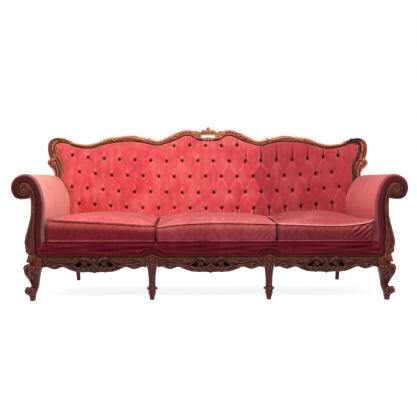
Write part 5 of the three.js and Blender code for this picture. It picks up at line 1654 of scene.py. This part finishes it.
def apronCarving(half):
    r = apronRows
    rows = [("rope", [(2, 238), (half * 0.5, 238), (half - 2, 238)], 4, 0), *r["pair"]]
    for angle in r["shell"]:
        x, z = r["shellLong"] * math.sin(angle), r["shellZ"] - r["shellLong"] * math.cos(angle)
        rows.append(("leaf", [(1, 3, 206), (x * 0.5, 9, (206 + z) / 2), (x, 4, z)], 12, 7, 2, 24, 9))
    return both(carvings(rows, apron["face"])) + carvings(r["middle"], apron["face"])


def makeAprons():
    parts = [cadPart("apron_middle"), *apronCarving(apron["middle"][1])]
    carve("carved_apron_middle", parts, "apron_middle", "apron", voxel=1.7, paired=False)
    centre, half = apron["side"]
    carved = [(points + (centre, 0, 0), faces) for points, faces in apronCarving(half)]
    carve("carved_apron", [cadPart("apron_side_right"), *carved], "apron_side", "apron", voxel=1.7)


def makeSideAprons():
    s = sideApron
    x, middle, side = s["x"], s["middle"], (1, 0, 0)
    edge = smoothLine([(x, y, z) for y, z in s["edge"]], 160)
    bead = smoothLine([(x, y, s["beadZ"]) for y in s["beadY"]], 120)
    parts = [cadPart("side_rail_apron_right"), tube(edge, 5, facing=side), tube(bead, 4, facing=side)]
    for way in (-1, 1):
        ys = [middle + way * d for d in s["leafY"]]
        parts.append(leaf(list(zip([x, x + 6, x + 6, x], ys, s["low"])), 24, 7, 4, facing=side))
        parts.append(leaf(list(zip([x, x + 5, x + 5, x], ys, s["high"])), 16, 6, 3, facing=side))
    parts.append(leaf([(x, middle, 214), (x + 8, middle, 196), (x, middle, 176)], 24, 8, 3, facing=side))
    parts.append(ball((x + 4, middle, 215), (8, 9, 9)))
    carve("carved_side_apron", parts, "side_rail_apron", "apron", s["voxel"], smoothing=3)


# Legs

cornerLeg = {
    "corner": (1004.3, -386.0), "out": 40.0, "inn": 55.5, "high": 204.6, "squareness": 3.4,
    "shape": [
        (1.0, 0.62, 1.0), (0.93, 0.92, 1.0), (0.86, 1.0, 0.94), (0.73, 0.8, 0.82), (0.57, 0.45, 0.71),
        (0.42, 0.2, 0.63), (0.37, 0.4, 0.6), (0.31, 0.86, 0.55), (0.24, 0.9, 0.47), (0.17, 0.62, 0.38),
        (0.09, 0.4, 0.33), (0.0, 0.35, 0.27),
    ],
    # leaves: places as x on the front, or as the way round the side, with height and how proud; then the size
    "frontLeaf": ([(1010, 176, 1), (1008, 160, 4), (1010, 138, 3), (1014, 108, 1)], 22, 6, 4),
    "sideLeaf": ([(40, 176, 1), (38, 160, 4), (34, 138, 3), (30, 108, 1)], 22, 6, 4),
    "toeLeaf": ([(1000, 30, 0), (1001, 18, 2), (1002, 3, 0)], 22, 4, 2, 24),
    "lowerLeaves": ((1016, 168, 1), (990, 150, 0)),
    "leafX": (984, 1006, 1028), "corners": (196, 180, 160, 130, 105, 90), "ankleZ": 62, "heelZ": 58,
    "toSide": 966,  # from an x on the front to the same place round the side
}
rearLeg = {
    "x": 866.0, "squareness": 5,
    "shape": [(204.6, 279.4, 21), (160, 281, 19.5), (102, 296, 16.5), (50, 315, 13.5), (0, 331.4, 12)],
}


def legSection(count, squareness):
    angle = np.linspace(0, 2 * math.pi, count, endpoint=False)
    power = 2 / squareness
    x = np.sign(np.cos(angle)) * np.abs(np.cos(angle)) ** power
    y = np.sign(np.sin(angle)) * np.abs(np.sin(angle)) ** power
    return x, y


def makeCornerLeg():
    c = cornerLeg
    shape = smoothLine(c["shape"], 60)
    ux, uy = legSection(40, c["squareness"])
    cx, cy = c["corner"]
    rings = []
    for up, out, inn in shape:
        x1, x0 = cx + out * c["out"], cx - inn * c["inn"]
        y0 = cy - out * c["out"]
        y1 = y0 + x1 - x0
        half = (x1 - x0) / 2
        height = np.full(len(ux), up * c["high"])
        rings.append(np.column_stack([(x0 + x1) / 2 + ux * half, (y0 + y1) / 2 + uy * half, height]))

    def faceAt(z):
        # the leg's front, side and inner face at a height
        out, inn = (np.interp(z / c["high"], shape[::-1, 0], shape[::-1, k]) for k in (1, 2))
        return cy - out * c["out"], cx + out * c["out"], cx - inn * c["inn"]

    def frontLeaf(places, *rest):
        return leaf([(x, faceAt(z)[0] - proud, z) for x, z, proud in places], *rest)

    def sideLeaf(places, *rest):
        line = [(faceAt(z)[1] + proud, faceAt(z)[0] + shift, z) for shift, z, proud in places]
        return leaf(line, *rest, facing=(1, 0, 0))

    parts = [skin(np.array(rings)), frontLeaf(*c["frontLeaf"]), sideLeaf(*c["sideLeaf"])]
    for x in c["leafX"]:
        parts.append(frontLeaf([(x, 204, 0), (x + 3, 192, 4), (x + 5, 176, 2)], 19, 6, 3, 24, 9))
        shift = x - c["toSide"]
        parts.append(sideLeaf([(shift, 204, 0), (shift - 2, 192, 4), (shift - 6, 176, 2)], 19, 6, 3, 24, 9))
    parts += volute((1000, 184), (17, 5), 1.3, 150, (4.6, 2.8), faceAt(184)[0] - 2, -1)
    for x, z, proud in c["lowerLeaves"]:
        parts.append(frontLeaf([(x, z, proud), (x + 4, z - 14, 3), (x + 8, z - 34, 1)], 15, 5, 3, 24, 9))
    corner = [(faceAt(z)[1] - 5, faceAt(z)[0] + 5, z) for z in c["corners"]]
    parts.append(tube(smoothLine(corner, 40), (6, 5, 4, 3), facing=(0.7, -0.7, 0)))
    y0, x1, x0 = faceAt(c["ankleZ"])
    for shift in (-11, 11):
        parts.append(ball((0.5 * (x0 + x1) + shift, y0 + 5, c["ankleZ"]), (13, 11, 17)))
        parts.append(ball((x1 - 5, y0 + 0.5 * (x1 - x0) + shift, c["ankleZ"]), (11, 13, 17)))
    front, outer, _ = faceAt(c["heelZ"])
    parts.append(ball((outer - 9, front + 9, c["heelZ"]), (13, 13, 17)))
    parts += volute((1022, c["ankleZ"]), (11, 4), 1.3, 100, (3.6, 2.2), y0 - 5, -1)
    parts.append(frontLeaf(*c["toeLeaf"]))
    carve("carved_corner_leg", parts, "front_leg", "leg", voxel=1.8)


def makeMiddleLeg():
    m = middleLeg
    count = 72
    angle = np.linspace(0, 2 * math.pi, count, endpoint=False)
    ux, uy = legSection(count, m["squareness"])
    rings = []
    (upperStart, upperEnd), (lowerStart, lowerEnd) = m["upperFlutes"], m["lowerFlutes"]
    for z, half in smoothLine(m["shape"], 90):
        fluted = ease(*upperStart, z) * (1 - ease(*upperEnd, z))
        fluted += 0.6 * ease(*lowerStart, z) * (1 - ease(*lowerEnd, z))
        flute = 1 - m["flute"] * fluted * (0.5 + 0.5 * np.cos(12 * angle)) ** 2
        x, y = m["x"] + ux * half * flute, m["y"] + uy * half * m["depth"] * flute
        rings.append(np.column_stack([x, y, np.full(count, z)]))
    x, y = m["x"], m["face"]
    parts = [skin(np.array(rings))]
    parts.append(plate([(x + a, b) for a, b in m["shield"]], y, m["back"]))
    size, middle = m["rosette"]
    turns = [k * math.pi / 3 for k in range(6)]
    petals = [(x + size * math.cos(turn), 2, middle + size * math.sin(turn)) for turn in turns]
    rows = [("bead", spot, (6.4, 4.5, 6.4), 9) for spot in petals]
    rows += [("bead", (x, 5, middle), 5), ("rope", [(x + a, b) for a, b in m["arch"]], 3.6, 0)]
    parts += carvings(rows, y)
    wide, deep, high = m["collar"]
    for turn in (0, math.pi / 2, math.pi, 3 * math.pi / 2):
        parts.append(ball((x + wide * math.cos(turn), m["y"] + deep * math.sin(turn), high), 6, 8))
    rows = [
        ("leaf", [(x, 3, 74), (x, 4, 88), (x, -1, 104)], 14, 4, 2, 24, 9),
        ("leaf", [(x, 8, 212), (x, 8, 196), (x, 3, 172)], 26, 6, 3),
    ]
    parts += carvings(rows, m["y"] - 18)
    for way in (-1, 1):
        line = [(x + way * 8, -3, 214), (x + way * 20, -3, 208), (x + way * 33, -7, 200)]
        parts += carvings([("leaf", line, 13, 5, 3, 24, 9)], y)
    carve("carved_middle_leg", parts, "middle_leg", "leg", voxel=1.6)


def makeRearLeg():
    ux, uy = legSection(40, rearLeg["squareness"])
    rings = []
    for z, y, half in smoothLine(rearLeg["shape"], 50):
        rings.append(np.column_stack([rearLeg["x"] + ux * half, y + uy * half, np.full(len(ux), z)]))
    carve("shaped_rear_leg", [skin(np.array(rings))], "rear_leg", "leg", voxel=2.5, smoothing=3)


makeBraids()
makeCrest()
makeCartouche()
makeStile()
makeFacing()
makeAprons()
makeSideAprons()
makeCornerLeg()
makeMiddleLeg()
makeRearLeg()
print("carving ready")

# What stays as the CAD made it gets its finish here

slotFinish = {"velvet": "outside", "show_wood": "leg", "frame_wood": "frameWood"}  # the rest are named alike
slotOf = {row["node"]: row["material_slot"] for row in frame["record"]["subparts"]}
for node, thing in frame["nodes"].items():
    slot = slotOf[node]
    thing.data.materials.clear()
    thing.data.materials.append(finish[slotFinish.get(slot, slot)])
    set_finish(thing, slot)

print("sofa ready")
